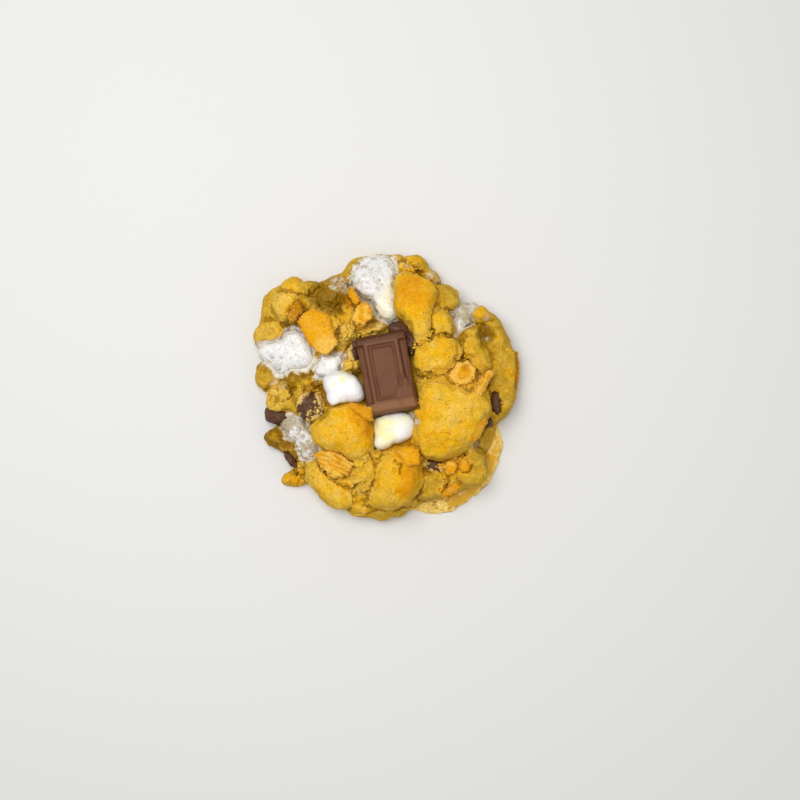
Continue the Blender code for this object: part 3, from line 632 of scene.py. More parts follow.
# cracks between and across the boulders, seen from above: points in order
doughCracks = {
    "bigRightTop": [(13.2, 4.2), (16, 3.2), (18, 4.1), (20, 4.2), (22.5, 4.5), (24, 3), (26, 1), (29, 0.2)],
    "underBoot": [(10.8, 16), (13, 15.4), (15, 16.5), (17.5, 18.5)],
    "bootNeck": [(18, 29), (17, 26), (16.8, 23), (18.5, 20)],
    "bootOuter": [(19.8, 31), (19.5, 34.5), (19.8, 38)],
    "neckOuter": [(20.5, 29.8), (24, 29.4), (26.4, 27)],
    "neckMiddle": [(18.4, 19.6), (21, 20.2), (24, 20)],
    "ridgeMiddle": [(30, 18), (29.6, 14), (30, 10)],
    "hairOne": [(21.5, -17), (22.6, -17.8), (24, -18)],
    "hairTwo": [(28, -14), (28.8, -13.4), (29.5, -14)],
    "bigRightLow": [(9.5, -21), (13, -24), (15, -27), (22, -30)],
    "bottomLeftSide": [(-1, -26), (-3.5, -30), (-4, -36), (-6.5, -41), (-7.5, -44), (-10, -44.5)],
    "bottomTop": [(3.5, -28), (6, -30), (5, -33)],
    "toe": [(-6.5, -25), (-5, -28)],
    "toeLeft": [(-13, -28.5), (-12.5, -31)],
    "lowerLeftTop": [(-27, -28), (-25, -32), (-20, -35.5), (-15, -35), (-15, -33)],
    "lowerLeftMid": [(-20, -37), (-17, -38.5), (-13, -40), (-10, -37)],
    "ledge": [(-13, -50), (-6, -49.5), (-3, -48), (5, -48.5), (10, -47)],
    "lowerRight": [(24, -33.5), (25, -36), (24.5, -38), (22, -41.5)],
    "lowerRightTwo": [(28, -36), (29, -38)],
    "lowerRightThree": [(30, -33), (32, -33), (33.5, -31)],
    "crown": [(-40, 37.8), (-36, 37.4), (-33, 35.6)],
    "behindCracker": [(-26, 31), (-21, 30), (-17.6, 26)],
}

# places where the surface is broken open and crumbly: x, y, radius, maybe a strength
crumblyPatches = [
    (-9, -40, 4.5), (-14, 19.5, 6), (-14.5, 13, 4), (11.5, 15, 3), (12.4, 1.5, 2), (12.2, -6, 2.4),
    (-39.5, 32.5, 5.5, 0.4), (-6, 23, 4.5), (16, 4, 2.6), (-20, -32, 4.5), (-42, -3, 5), (-46, 20, 4.5, 0.7),
    (-15, 35, 4), (33.5, 2, 4.5), (-6, -28, 3), (8.5, 47, 4.5), (-43, -19.5, 6, 1.3), (-35, -35, 7, 0.8),
    (24, -40, 4), (29, 8, 4), (18.5, 20.5, 2.4), (-13.5, 8, 4), (-29, 2, 4), (-30, 33, 4, 0.5),
]

# toasted orange: x, y, radius, strength
toastedPatches = [
    (9, 37.5, 8, 0.95), (13.5, 34, 6, 0.8), (6, 32, 3.5, 0.7), (13, 40.5, 4, 0.6), (11.5, 29, 4, 0.45),
    (-8, -10.8, 5.5, 1.0), (-7, -16, 5, 0.95), (-7.5, -21, 4, 0.6), (-13, -10, 5, 0.6), (-16, -20, 7, 0.45),
    (-22, -15, 5, 0.3), (8.6, -26.8, 5.5, 1.0), (9.5, -33, 5, 0.95), (8.5, -38.6, 5, 0.95), (4, -32, 6, 0.5),
    (15, -9, 6, 0.5), (24, -22.5, 6, 0.5), (30, -16, 5, 0.35), (17, -20, 5, 0.5), (15.5, 9, 4, 0.3),
    (24, 14, 5, 0.5), (30, 5, 5, 0.5), (-36, 41, 4, 0.35), (-34.5, 29, 4.5, 0.9), (27, -31, 6, 0.5),
    (24.8, -40.6, 4, 0.5),
    (-20, -31, 6, 0.35), (46, 19, 5, 0.25), (11, 50, 4, 0.3), (-15, 34, 4, 0.7), (37.5, 29, 4, 0.5),
    (-36, -36, 5, 0.55), (-29, 2, 3.5, 0.4), (51, 5, 3, 0.7), (9, 46.5, 3, 0.55), (-26.5, -41.5, 3, 0.35),
    (-16.5, -38, 2.5, 0.6), (-4.5, -43, 3, 0.3), (41.5, 27, 3, 0.3), (-43, -17, 4.5, 0.6),
]

# browned and wet with melted sugar: x, y, radius, strength
caramelPatches = [
    (-22, 35.4, 8, 1.0), (-26, 31.5, 3, 0.7), (-24, -2, 5, 1.0), (-20.5, 11.5, 4, 0.45), (-12, 36.5, 3, 0.6),
    (-36, 3.4, 6, 0.6), (-31, 5.5, 3.5, 0.8), (-46, 7, 4, 0.45), (38, 22, 5, 0.7), (30, 19, 3.5, 0.6),
    (-44, -18.5, 5, 0.6), (-39, -24.5, 5, 0.55), (17, -30.5, 3.5, 0.85), (-4, -24.6, 2, 0.5),
    (40, -12, 4, 0.35), (38.5, 21, 4, 0.95), (37, 16.5, 3, 0.7), (41.5, 24, 4, 0.5), (42, 15, 4, 0.35),
    (-31, 31.5, 4, 0.45), (-12.2, 4.5, 3, 0.7), (39.6, 5, 3.5, 0.4), (4, 24, 4, 0.55), (19, 20.6, 2.5, 0.45),
    (-33, -9.5, 4, 0.6), (-49.5, 9, 3, 0.5), (-28.5, 13, 3, 0.55), (-38, 24, 3, 0.35), (34, -20, 3, 0.3),
    (39, -20, 4, 0.35), (40.5, -27, 3.5, 0.45), (-25, -10, 3, 0.6), (37.5, 13, 3, 0.2),
    (-13.5, 15.5, 2.4, 0.5),
]

# darker and duller, in the rim tone, partly painted shade: x, y, radius, strength
dullPatches = [
    (-47, 29, 5.5, 1.1), (-44, 36, 4, 0.6), (-37, 40, 4, 0.45), (-47, 21, 4.5, 0.8), (36, 12, 6, 0.8),
    (34, 18, 4, 0.6), (46, 0, 5, 0.9), (47, 8, 4, 0.4), (25, 34, 5, 0.7), (22, 37, 4, 0.6), (19, -38, 5, 0.5),
    (30, -38, 6, 0.4), (3, -43, 5, 0.5), (-28, 26, 3, 0.4), (14, 48, 4, 0.5), (-5, -24, 3, 0.5),
]

# filmed over with thin marshmallow: x, y, radius, strength
filmPatches = [
    (-19.4, 40.4, 4.0, 0.55), (-15.5, 38.5, 3.0, 0.45), (17.4, 44.6, 2.4, 0.55), (20.6, 41.6, 2, 0.45),
    (38.6, 27.4, 2.2, 0.42), (38.4, 18.6, 1.6, 0.4), (39.8, 24, 1.5, 0.35), (41.5, 29.4, 2, 0.3),
    (34.6, -22.4, 3, 0.4), (2.6, 49, 3, 0.5), (9.8, -11, 1.5, 1.0), (11.5, -13.4, 1.4, 0.9),
    (-44.6, 2, 2.6, 0.4), (-40.4, 0.8, 2, 0.5), (-33.6, -13, 2.4, 0.4), (8.5, 47.6, 2, 0.4),
    (-2.5, 23.4, 1.6, 0.5),
]

# where the bar piece lies; columns and rows are its edges and those of its raised border
barPlace = {
    "centre": (0.0, 4.6, 26.8),
    "turn": 10.7,
    "leanAlong": -2.5,
    "leanAcross": -2.0,
    "columns": (-9.2, -6.9, 7.4, 10.0),
    "rows": (-14.8, -9.9, 12.3, 16.0),
    "bandReach": 1.5,
    "base": 4.2,
    "rise": 2.6,
    "pocketSides": 0.3,
    "pocketEnds": 0.2,
    "pocketLift": 1.0,
}


def barMatrix():
    return (
        Matrix.Translation(Vector(barPlace["centre"]) * mm)
        @ Matrix.Rotation(math.radians(barPlace["turn"]), 4, "Z")
        @ Matrix.Rotation(math.radians(barPlace["leanAlong"]), 4, "Y")
        @ Matrix.Rotation(math.radians(barPlace["leanAcross"]), 4, "X")
    )


def pressBarPocket(points):
    # the bar piece pressed its own room into the dough
    inverse = np.array(barMatrix().inverted())
    local = points @ inverse[:3, :3].T + inverse[:3, 3]
    u, v = local[:, 0] / mm, local[:, 1] / mm
    sides, ends = barPlace["pocketSides"], barPlace["pocketEnds"]
    left, right = barPlace["columns"][0] - sides, barPlace["columns"][3] + sides
    low, high = barPlace["rows"][0] - ends, barPlace["rows"][3] + ends
    ragged = 0.45 * smoothNoise(points, 1.8, 4.0)
    inside = np.minimum.reduce([u - left, right - u, v - low, high - v]) + ragged
    push = ramp(inside, -0.25, 0.25)
    floor = (barPlace["centre"][2] - barPlace["rise"] - barPlace["base"] + barPlace["pocketLift"]) * mm
    proud = points[:, 2] > floor
    moved = points.copy()
    moved[proud, 2] += (floor - points[proud, 2]) * push[proud]
    return moved


def growDough():
    # all the lumps and boulders in one skin, and which of them each seed point came from
    shape = doughShape
    bm = bmesh.new()
    owners = []
    adders = [(addLump, lump, 1.37 * number) for number, lump in enumerate(doughLumps.values())]
    adders += [(addBoulder, boulder, 2.11 * number) for number, boulder in enumerate(doughBoulders.values())]
    for number, (add, row, seed) in enumerate(adders):
        before = len(bm.verts)
        add(bm, row, len("dough") + seed)
        owners += [number] * (len(bm.verts) - before)
    dough = objectFrom(bm, "bakedDough")
    seeds = readPoints(dough.data)
    oneSkin(dough, shape["voxel"], shape["smoothing"])
    # narrow gaps between the boulders ran shut
    shut = shape["gapsClosed"] / 2 * mm
    writePoints(dough.data, readPoints(dough.data) + readPoints(dough.data, "normal") * shut)
    oneSkin(dough, shape["voxel"], shape["smoothing"])
    writePoints(dough.data, readPoints(dough.data) - readPoints(dough.data, "normal") * shut)
    return dough, seeds, np.array(owners)


def doughCrackDepth(points, wandered, normals):
    crack = np.zeros(len(points))
    for name, line in doughCracks.items():
        part = doughShape["hairlineShare"] if name.startswith("hair") else 1.0
        away = distanceToLine(wandered, line) / doughShape["crackWidth"]
        crack = np.maximum(crack, part * np.exp(-(away ** 2)))
    depth = 0.45 + 0.55 * ramp(smoothNoise(points, 2.5, 12.0), -0.4, 0.4)
    return crack * (ramp(normals[:, 2], 0.0, 0.4) * depth)


def doughRelief(points, wander, crumbly, wet):
    # crags, billows, knobs and crumb, with pits; broken places are rougher and wet ones smoother
    shape = doughShape
    ridge = 0.5 - np.abs(smoothNoise(points, shape["cragLength"]))
    height = shape["cragDepth"] * (1.3 * ridge + 0.8 * smoothNoise(points, shape["cragLength"] / 2.1) - 0.3)
    height += shape["billowDepth"] * (np.abs(smoothNoise(points, shape["billowLength"], 50.0)) - 0.2)
    smallBillows = np.abs(smoothNoise(points, shape["billowLength"] / 2.3, 60.0)) - 0.2
    height += 0.45 * shape["billowDepth"] * smallBillows
    knobs = smoothNoise(points, shape["knobLength"], 15.0)
    crumbs = smoothNoise(points, shape["crumbLength"], 21.0)
    height += shape["knobDepth"] * knobs * (1.0 - 0.7 * wet) * (1.0 + 1.0 * crumbly)
    height += shape["crumbDepth"] * crumbs * (1.0 - 0.8 * wet) * (1.0 + 1.0 * crumbly)
    lumpy, lumpFurrow = grains(points + wander * 1.7 * mm, shape["lumpLength"], 2.0, 0.12)
    bitty, bitFurrow = grains(points + wander * 1.1 * mm, shape["bitLength"], 6.0, 0.2)
    height += ramp(crumbly, 0.15, 0.7) * (shape["lumpDepth"] * lumpy - shape["lumpFurrow"] * lumpFurrow)
    height += ramp(crumbly, 0.3, 0.9) * (shape["bitDepth"] * bitty - shape["bitFurrow"] * bitFurrow)
    pits = ramp(cellNoise(points, shape["pitLength"], 3.0), 0.30, 0.12) * ramp(knobs, 0.35, -0.2)
    height -= shape["pitDepth"] * pits * (0.15 + 1.2 * crumbly)
    return height, pits


def makeDough():
    shape = doughShape
    dough, seeds, owners = growDough()
    points, normals = readPoints(dough.data), readPoints(dough.data, "normal")
    ends = edgeEnds(dough.data)
    print("   dough skin", len(points), "points")

    wander = np.stack([smoothNoise(points, shape["wander"], shift) for shift in (7.0, 9.0, 11.0)], axis=1)
    wandered = points + wander * 0.9 * mm
    owner = owners[nearestNumber(treeOf(seeds), wandered)]
    border = ends[owner[ends[:, 0]] != owner[ends[:, 1]]]
    creaseAway = nearestDistance(treeOf(points[np.unique(border.ravel())]), points)
    # the dough ran together at the foot of each crease
    even = evenedOut(points, ends, shape["fillRadius"], shape["voxel"])
    hollowness = np.maximum(((even - points) * normals).sum(axis=1) / mm, 0.0)
    points = pushedOut(points, normals, hollowness * shape["fillShare"])
    softened = ramp(smoothNoise(points, 6.0, 2.0), -0.4, 0.3) * ramp(hollowness, 0.05, 0.6)
    crease = blur(np.exp(-((creaseAway / shape["creaseWidth"]) ** 2)) * softened, ends, 1)
    crack = doughCrackDepth(points, wandered, normals)
    crumbly = spots(points, crumblyPatches) * (0.75 + 0.9 * smoothNoise(points, 3.6, 33.0))
    crumbly = np.clip(crumbly + 0.25 * crease, 0.0, 1.0)
    wet = spots(points, caramelPatches, 0.7)
    crumbly *= 1.0 - 0.8 * wet

    height, pits = doughRelief(points, wander, crumbly, wet)
    height -= shape["creaseDepth"] * crease + shape["crackDepth"] * crack
    height *= ramp(points[:, 2] / mm, 0.0, shape["fadeFromFloor"]) * 0.85 + 0.15
    moved = pressBarPocket(pushedOut(points, normals, height))
    moved[:, 2] = np.maximum(moved[:, 2], 0.0)
    writePoints(dough.data, moved)
    even = evenedOut(moved, ends, shape["cavityRadius"], shape["voxel"])
    cavity = ((even - moved) * normals).sum(axis=1) / mm

    tones = [row[-1] for row in (*doughLumps.values(), *doughBoulders.values())]
    looks = {}
    for tone in ("pale", "rim", "caramel"):
        own = np.array([1.0 if name == tone else 0.0 for name in tones])[owner]
        looks[tone] = blur(own, ends, 8)
    # low down the crust takes the darker rim tone, partly its own colour and partly painted shade
    lowness = ramp(moved[:, 2] / mm, 16.0, 5.0)
    looks["rim"] = np.maximum.reduce([looks["rim"], 0.9 * lowness, 0.85 * spots(moved, dullPatches, 0.9)])
    looks["toasted"] = spots(moved, toastedPatches, 0.7)
    looks["caramel"] = np.maximum(0.8 * looks["caramel"], wet)
    looks["crumbly"] = crumbly
    looks["film"] = spots(moved, filmPatches, 0.6)
    # steep sides, for painted shade
    looks["flankShade"] = ramp(normals[:, 2], 0.75, 0.1)
    # painted shade, with a little baked browning, in creases, cracks, hollows and pits
    deep = 0.7 * crease + 1.1 * crack + ramp(cavity, 0.16, 0.7) + 0.4 * pits - 0.05
    looks["hollowShade"] = np.clip(deep, 0.0, 1.0)
    # convex bumps, for a painted highlight
    looks["raised"] = ramp(cavity, -0.02, -0.30)

    thinOut(dough, shape["triangles"] / coarse)
    kept = nearestNumber(treeOf(moved), readPoints(dough.data))
    for name, values in looks.items():
        paint(dough, name, values[kept])
    return dough


doughTones = {
    "golden": (0.80, 0.44, 0.006),
    "amber": (0.83, 0.42, 0.0),
    "toasted": (0.73, 0.29, 0.0),
    "pale": (0.82, 0.515, 0.070),
    "rim": (0.53, 0.30, 0.012),
    "caramel": (0.20, 0.09, 0.0),
    "hollowShade": (0.30, 0.15, 0.005),
    "cream": (0.87, 0.60, 0.13),
    "film": (0.68, 0.58, 0.42),
    "frost": (0.78, 0.76, 0.70),
    "roughness": 0.72,
    "wetGloss": 0.48,
    "specular": 0.08,
}


def makeDoughMaterial():
    material, tree, shader = newMaterial("bakedDoughCrust")
    tones = doughTones
    broad = objectNoise(tree, 8.0, 2.0)
    middle = objectNoise(tree, 3.0, 3.0, 0.5)
    fine = objectNoise(tree, 0.9, 2.0, 0.5)
    mottle = objectNoise(tree, 0.85, 2.0, 0.6)
    # crust
    colour = mixColours(tree, attributeValue(tree, "pale"), tones["golden"], tones["pale"])
    colour = mixColours(tree, stretchTo(tree, broad, 0.38, 0.70, 0.0, 0.55), colour, tones["pale"])
    colour = mixColours(tree, share(tree, "rim", 0.9), colour, tones["rim"])
    # painted shade: steep sides darker in the rim tone
    colour = mixColours(tree, share(tree, "flankShade", 0.32), colour, tones["rim"])
    crumb = share(tree, "crumbly", stretchTo(tree, middle, 0.3, 0.6, 0.3, 0.8))
    colour = mixColours(tree, maths(tree, "MULTIPLY", crumb, 0.75), colour, tones["cream"])
    # painted highlight: convex bumps paler in the cream tone
    colour = mixColours(tree, share(tree, "raised", 0.3), colour, tones["cream"])
    # toasted and caramel places
    broken = maths(tree, "ADD", attributeValue(tree, "toasted"), spread(tree, middle, -0.25, 0.2))
    broken = maths(tree, "SUBTRACT", broken, share(tree, "flankShade", 0.3))
    colour = mixColours(tree, stretchTo(tree, broken, 0.0, 0.5, 0.0, 0.9), colour, tones["amber"])
    colour = mixColours(tree, stretchTo(tree, broken, 0.45, 1.0, 0.0, 0.97), colour, tones["toasted"])
    wet = maths(tree, "ADD", attributeValue(tree, "caramel"), spread(tree, middle, -0.3, 0.3))
    wet = stretchTo(tree, wet, 0.15, 0.95, 0.0, 0.92)
    colour = mixColours(tree, wet, colour, tones["caramel"])
    # pale grain, least where it is wet, toasted or at the rim
    patchy = stretchTo(tree, objectNoise(tree, 3.8, 4.0, 0.6), 0.44, 0.62)
    patchy = maths(tree, "MULTIPLY", patchy, 0.25)
    grainy = maths(tree, "ADD", stretchTo(tree, mottle, 0.46, 0.70, 0.0, 0.34), patchy)
    grainy = maths(tree, "MULTIPLY", grainy, stretchTo(tree, wet, 0.0, 0.6, 1.0, 0.2))
    grainy = maths(tree, "MULTIPLY", grainy, stretchTo(tree, broken, 0.2, 0.8, 1.0, 0.3))
    rim = attributeValue(tree, "rim")
    grainy = maths(tree, "MULTIPLY", grainy, stretchTo(tree, rim, 0.0, 1.0, 1.0, 0.6))
    colour = mixColours(tree, grainy, colour, tones["cream"])
    colour = shaded(tree, colour, stretchTo(tree, middle, 0.25, 0.75, 0.90, 1.07))
    colour = shaded(tree, colour, stretchTo(tree, mottle, 0.32, 0.68, 0.92, 1.03))
    # painted shade in the furrows between crumbs, in pinholes, hairline cracks and hollows
    spongy = stretchTo(tree, broad, 0.42, 0.58, 0.15, 0.85)
    spongy = maths(tree, "MAXIMUM", spongy, attributeValue(tree, "pale"))
    pinholes = stretchTo(tree, objectCells(tree, 2.1), 0.16, 0.08)
    pinholes = maths(tree, "MULTIPLY", pinholes, spongy)
    dark = maths(tree, "MULTIPLY", objectFurrows(tree, 1.5, 0.10), share(tree, "crumbly", 0.22))
    hairlines = objectFurrows(tree, 6.5, 0.018, 0.6)
    hairlines = maths(tree, "MULTIPLY", hairlines, stretchTo(tree, middle, 0.52, 0.66, 0.0, 0.6))
    dark = maths(tree, "MAXIMUM", dark, maths(tree, "MAXIMUM", pinholes, hairlines))
    dark = maths(tree, "MAXIMUM", dark, share(tree, "hollowShade", 0.68))
    colour = mixColours(tree, dark, colour, tones["hollowShade"])
    # marshmallow film, broken into lace
    lace = maths(tree, "ADD", spread(tree, middle, -0.3, 0.5), spread(tree, fine, -0.1, 0.2))
    film = share(tree, "film", maths(tree, "ADD", lace, 0.8))
    film = stretchTo(tree, film, 0.25, 0.7, 0.0, 0.9)
    colour = mixColours(tree, film, colour, tones["film"])
    colour = mixColours(tree, share(tree, "frost", 0.9), colour, tones["frost"])
    covered = maths(tree, "MAXIMUM", wet, film)
    gloss = maths(tree, "MULTIPLY", covered, tones["wetGloss"])
    roughness = maths(tree, "SUBTRACT", tones["roughness"], gloss)
    dry = maths(tree, "SUBTRACT", 1.0, covered)
    rough = maths(tree, "ADD", share(tree, "crumbly", 0.8), 0.2)
    grain = maths(tree, "MULTIPLY", objectNoise(tree, 0.55, 2.0, 0.5), maths(tree, "MULTIPLY", dry, rough))
    normal = bumpFrom(tree, grain, 0.16, 0.8)
    normal = bumpFrom(tree, maths(tree, "MULTIPLY", mottle, dry), 0.5, 0.8, normal)
    normal = bumpFrom(tree, maths(tree, "SUBTRACT", 1.0, dark), 0.3, 0.7, normal)
    finishShader(tree, shader, colour, roughness, normal)
    shader.inputs["Specular IOR Level"].default_value = tones["specular"]
    translucent(shader, 0.08, (1.0, 0.45, 0.04), 1.0)
    return material


dough = makeDough()
doughMaterial = makeDoughMaterial()
finishPiece(dough, "dough", doughMaterial, "dough")
print("dough made")


# moulded chocolate bar piece

barShape = {
    "step": 0.24,
    "borderWidth": 1.8,
    "wall": 1.1,
    "panelDrop": 1.0,
    "innerStepIn": 1.4,
    "innerStepDrop": 0.35,
    "smearCentre": (7.0, -8.5),
    "smearRadius": 6.5,
    "waviness": 0.12,
    "curl": [(5.0, -4.8), (5.3, -2.6), (6.0, -1.4), (6.9, -1.4), (7.4, -2.8), (7.5, -5.0)],
    "curlHeight": 0.95,
    "curlWidth": 0.5,
    "lineRise": 0.28,
    "rightLip": 0.7,
    "leftLip": 0.5,
    "endDrop": 3.4,
    "sideDrop": 1.2,
    "edgeDrop": 0.9,
}


def softStep(values, middle, width):
    return ramp(values, middle - width / 2, middle + width / 2)


def lipAlong(values, place, width):
    return np.exp(-(((values - place) / width) ** 2))


def smearedShare(u, v, low, high):
    # how far the slumped corner reaches
    smearU, smearV = barShape["smearCentre"]
    away = np.hypot((u - smearU) / 0.8, v - smearV) / barShape["smearRadius"]
    return 1.0 - ramp(away, low, high)


def barHeight(u, v):
    place, shape = barPlace, barShape
    left, borderLeft, borderRight, right = place["columns"]
    low, panelLow, panelHigh, high = place["rows"]
    wall = shape["wall"]
    # raised border with the panel in it, between the two bands
    acrossBorder = softStep(u, borderLeft + 0.3, wall) * softStep(-u, -borderRight + 0.3, wall)
    bands = np.maximum(softStep(-v, -panelLow, wall), softStep(v, panelHigh, wall))
    raised = np.maximum(acrossBorder, bands)
    height = -place["rise"] * (1.0 - raised)
    inset = shape["borderWidth"]
    insideU = np.minimum(u - borderLeft - inset, borderRight - inset - u)
    insideV = np.minimum(v - panelLow - 0.3, panelHigh - 0.3 - v)
    inside = np.minimum(insideU, insideV)
    height -= shape["panelDrop"] * softStep(inside, 0.3, 0.7)
    inner = inside - shape["innerStepIn"]
    height -= shape["innerStepDrop"] * softStep(inner, 0.0, 0.5)
    height += shape["lineRise"] * lipAlong(inner, -0.35, 0.28) * (inside > 0.0)
    # a thin lip along both ledges
    height += shape["rightLip"] * lipAlong(u, right - 0.55, 0.5) * (1.0 - raised)
    height += shape["leftLip"] * lipAlong(u, left + 0.4, 0.4) * (1.0 - raised)
    # ends slope down
    height -= shape["endDrop"] * ramp(v, high - 1.9, high + 0.4) ** 1.3
    height -= shape["endDrop"] * ramp(-v, -low - 2.0, -low + 0.4) ** 1.3
    height -= shape["sideDrop"] * ramp(np.abs(u - 0.4), 9.3, 10.6) * bands
    # the lower right corner slumped and was smeared
    smearU, smearV = shape["smearCentre"]
    smeared = smearedShare(u, v, 0.55, 1.1)
    slump = -0.9 - 0.10 * (u - smearU) + 0.05 * (v - smearV) - 2.2 * ramp(u, 8.6, 10.4)
    slump -= 2.6 * ramp(-v, -low - 1.8, -low + 0.6)
    return height * (1.0 - smeared) + slump * smeared


def makeBar():
    place, shape = barPlace, barShape
    left, right = place["columns"][0], place["columns"][3]
    low, high = place["rows"][0], place["rows"][3]
    step = shape["step"] * coarse
    bm = bmesh.new()
    cellsU, cellsV = round((right - left) / step), round((high - low) / step)
    bmesh.ops.create_grid(bm, x_segments=cellsU, y_segments=cellsV, size=1.0)
    bm.normal_update()
    rim = [edge for edge in bm.edges if edge.is_boundary]
    down = bmesh.ops.extrude_edge_only(bm, edges=rim)["geom"]
    foot = [item for item in down if isinstance(item, bmesh.types.BMVert)]
    for vert in foot:
        vert.co.z = -1.0
    bmesh.ops.holes_fill(bm, edges=[item for item in down if isinstance(item, bmesh.types.BMEdge)])
    bmesh.ops.recalc_face_normals(bm, faces=bm.faces[:])
    bar = objectFrom(bm, "barPiece")
    grid = readPoints(bar.data)
    u = left + (grid[:, 0] + 1.0) / 2 * (right - left)
    v = low + (grid[:, 1] + 1.0) / 2 * (high - low)
    lower = grid[:, 2] < -0.5
    flatPoints = np.stack([u, v, np.zeros(len(u))], axis=1) * mm
    height = barHeight(u, v)
    height += shape["waviness"] * smoothNoise(flatPoints, 4.2, 5.0) + 0.05 * smoothNoise(flatPoints, 1.4, 8.0)
    curled = np.exp(-((distanceToLine(flatPoints, shape["curl"]) / shape["curlWidth"]) ** 2))
    height += shape["curlHeight"] * curled
    # rounded outline, bands reaching out on the left, corners taken off
    bands = np.maximum(ramp(-v, 9.7, 10.7), ramp(v, 12.0, 12.9))
    u -= place["bandReach"] * bands * ramp(-u, -left - 2.6, -left) * ramp(height, -2.2, -0.6)
    corner = np.hypot(np.maximum(u - (right - 3.2), 0.0), np.maximum((low + 3.2) - v, 0.0))
    pull = np.maximum(corner - 3.4, 0.0)
    u -= pull * 0.7
    v += pull * 0.7
    ragged = 0.22 * smoothNoise(flatPoints, 2.6, 17.0)
    edgeAway = np.minimum.reduce([u - left, right - u, v - low, high - v])
    nearEdge = 1.0 - ramp(edgeAway, 0.0, 1.2)
    height -= shape["edgeDrop"] * nearEdge ** 2
    u += ragged * nearEdge
    v += ragged * nearEdge
    height[lower] = -place["rise"] - place["base"]
    matrix = np.array(barMatrix())
    local = np.stack([u, v, height], axis=1) * mm
    writePoints(bar.data, local @ matrix[:3, :3].T + matrix[:3, 3])
    # painted light: the raised parts lighter than the sunk panel
    crestLight = ramp(height + 0.3 * smoothNoise(flatPoints, 3.0, 40.0), -0.7, 0.1)
    paint(bar, "crestLight", crestLight)
    paint(bar, "shade", ramp(v, high - 3.6, high - 2.2))
    paint(bar, "lit", ramp(-v, -low - 5.2, -low - 3.6) * ramp(-v, -low, -low - 1.2))
    paint(bar, "smeared", smearedShare(u, v, 0.6, 1.3))
    return bar


chocolateTones = {
    "milk": (0.142, 0.055, 0.026),
    "light": (0.200, 0.087, 0.047),
    "lit": (0.260, 0.120, 0.055),
    "deep": (0.075, 0.027, 0.010),
    "roughness": (0.36, 0.5),
    "specular": 0.09,
}


def makeBarMaterial():
    material, tree, shader = newMaterial("milkChocolate")
    tones = chocolateTones
    broad = objectNoise(tree, 6.0, 3.0)
    fine = objectNoise(tree, 0.9, 4.0)
    colour = mixColours(tree, stretchTo(tree, broad, 0.35, 0.7, 0.0, 0.5), tones["milk"], tones["light"])
    colour = mixColours(tree, share(tree, "crestLight", 0.4), colour, tones["light"])
    colour = mixColours(tree, share(tree, "smeared", 0.5), colour, tones["light"])
    colour = mixColours(tree, share(tree, "lit", 0.8), colour, tones["lit"])
    shade = share(tree, "shade", stretchTo(tree, fine, 0.35, 0.6, 0.9, 0.5))
    colour = mixColours(tree, shade, colour, tones["deep"])
    colour = mixColours(tree, stretchTo(tree, fine, 0.55, 0.8, 0.0, 0.35), colour, tones["deep"])
    finishShader(tree, shader, colour, spread(tree, broad, *tones["roughness"]), bumpFrom(tree, fine, 0.12, 0.5))
    shader.inputs["Specular IOR Level"].default_value = tones["specular"]
    return material


bar = makeBar()
barMaterial = makeBarMaterial()
finishPiece(bar, "chocolate", barMaterial, "bar_piece")
print("bar piece made")


# chocolate chips

# each of one or two rounded blocks: x, y, top, half sizes along x, y and z, turn in degrees
chipLumps = {
    "chip_left_edge": [(-42.6, -10.6, 10.5, 5.6, 4.4, 5.0, -8)],
    "chip_crumbed": [(-29.4, -7.8, 19.0, 5.2, 6.0, 6.0, 0)],
    "chip_in_shadow": [(-24.6, -3.2, 12.5, 3.4, 5.6, 5.0, 20)],
    "chunk_behind_bar": [(5.6, 22.0, 23.4, 4.8, 3.2, 5.0, -6), (10.1, 16.6, 24.6, 2.4, 4.8, 5.0, 14)],
    "chip_right_edge": [(43.0, -6.2, 16.8, 2.3, 4.8, 5.0, 8)],
    "chip_right_small": [(39.8, -13.8, 15.6, 2.0, 1.9, 4.0, 0)],
    "chip_lower_left": [(-37.9, -28.7, 9.4, 1.7, 4.0, 3.5, 36)],
    "chip_under_boulder": [(18.4, -30.6, 16.6, 4.8, 2.6, 4.0, -14)],
    "chip_left_of_bar": [(-12.4, 13.0, 21.0, 2.2, 3.4, 4.0, 0)],
}

chipShape = {
    "voxel": 0.3,
    "smoothing": 4,
    "dentDepth": 0.4,
    "dentLength": 2.6,
    "grainDepth": 0.12,
    "grainLength": 0.9,
    "chippedDepth": 0.5,
    "uncoveredReach": 9.0,
    "uncoveredBelow": 0.5,
}

crumbledChip = "chunk_behind_bar"
coatedChips = ("chip_crumbed", "chip_left_of_bar", "chip_under_boulder")
uncoveredChips = ("chip_right_edge", "chip_right_small", "chip_lower_left")

# dough stuck on the chips: x, y, radius, strength
stuckDough = [
    (-34.2, -5.0, 1.9, 1.1), (-33.2, -2.8, 2.0, 1.1), (-31.0, -1.8, 1.3, 1.0), (-26.0, -3.4, 1.7, 1.1),
    (-24.8, -5.4, 1.7, 1.1), (-24.6, -8.0, 1.4, 0.9), (-25.0, -10.4, 1.2, 0.7), (-27.0, -12.6, 2.0, 1.1),
    (-30.2, -13.2, 1.3, 0.8), (-34.8, -7.2, 0.7, 0.8), (-27.6, -5.8, 0.7, 0.7), (-27.6, -9.6, 2.2, 0.55),
    (-33.6, -10.6, 0.8, 0.6), (-29.4, -10.8, 1.6, 0.5), (-14.4, 15.2, 1.7, 1.1), (-14.2, 12.6, 1.5, 1.0),
    (-13.4, 10.4, 1.5, 1.0), (14.6, -30.0, 1.2, 0.9), (21.6, -31.4, 1.4, 0.9), (17.6, -32.4, 1.0, 0.8),
]


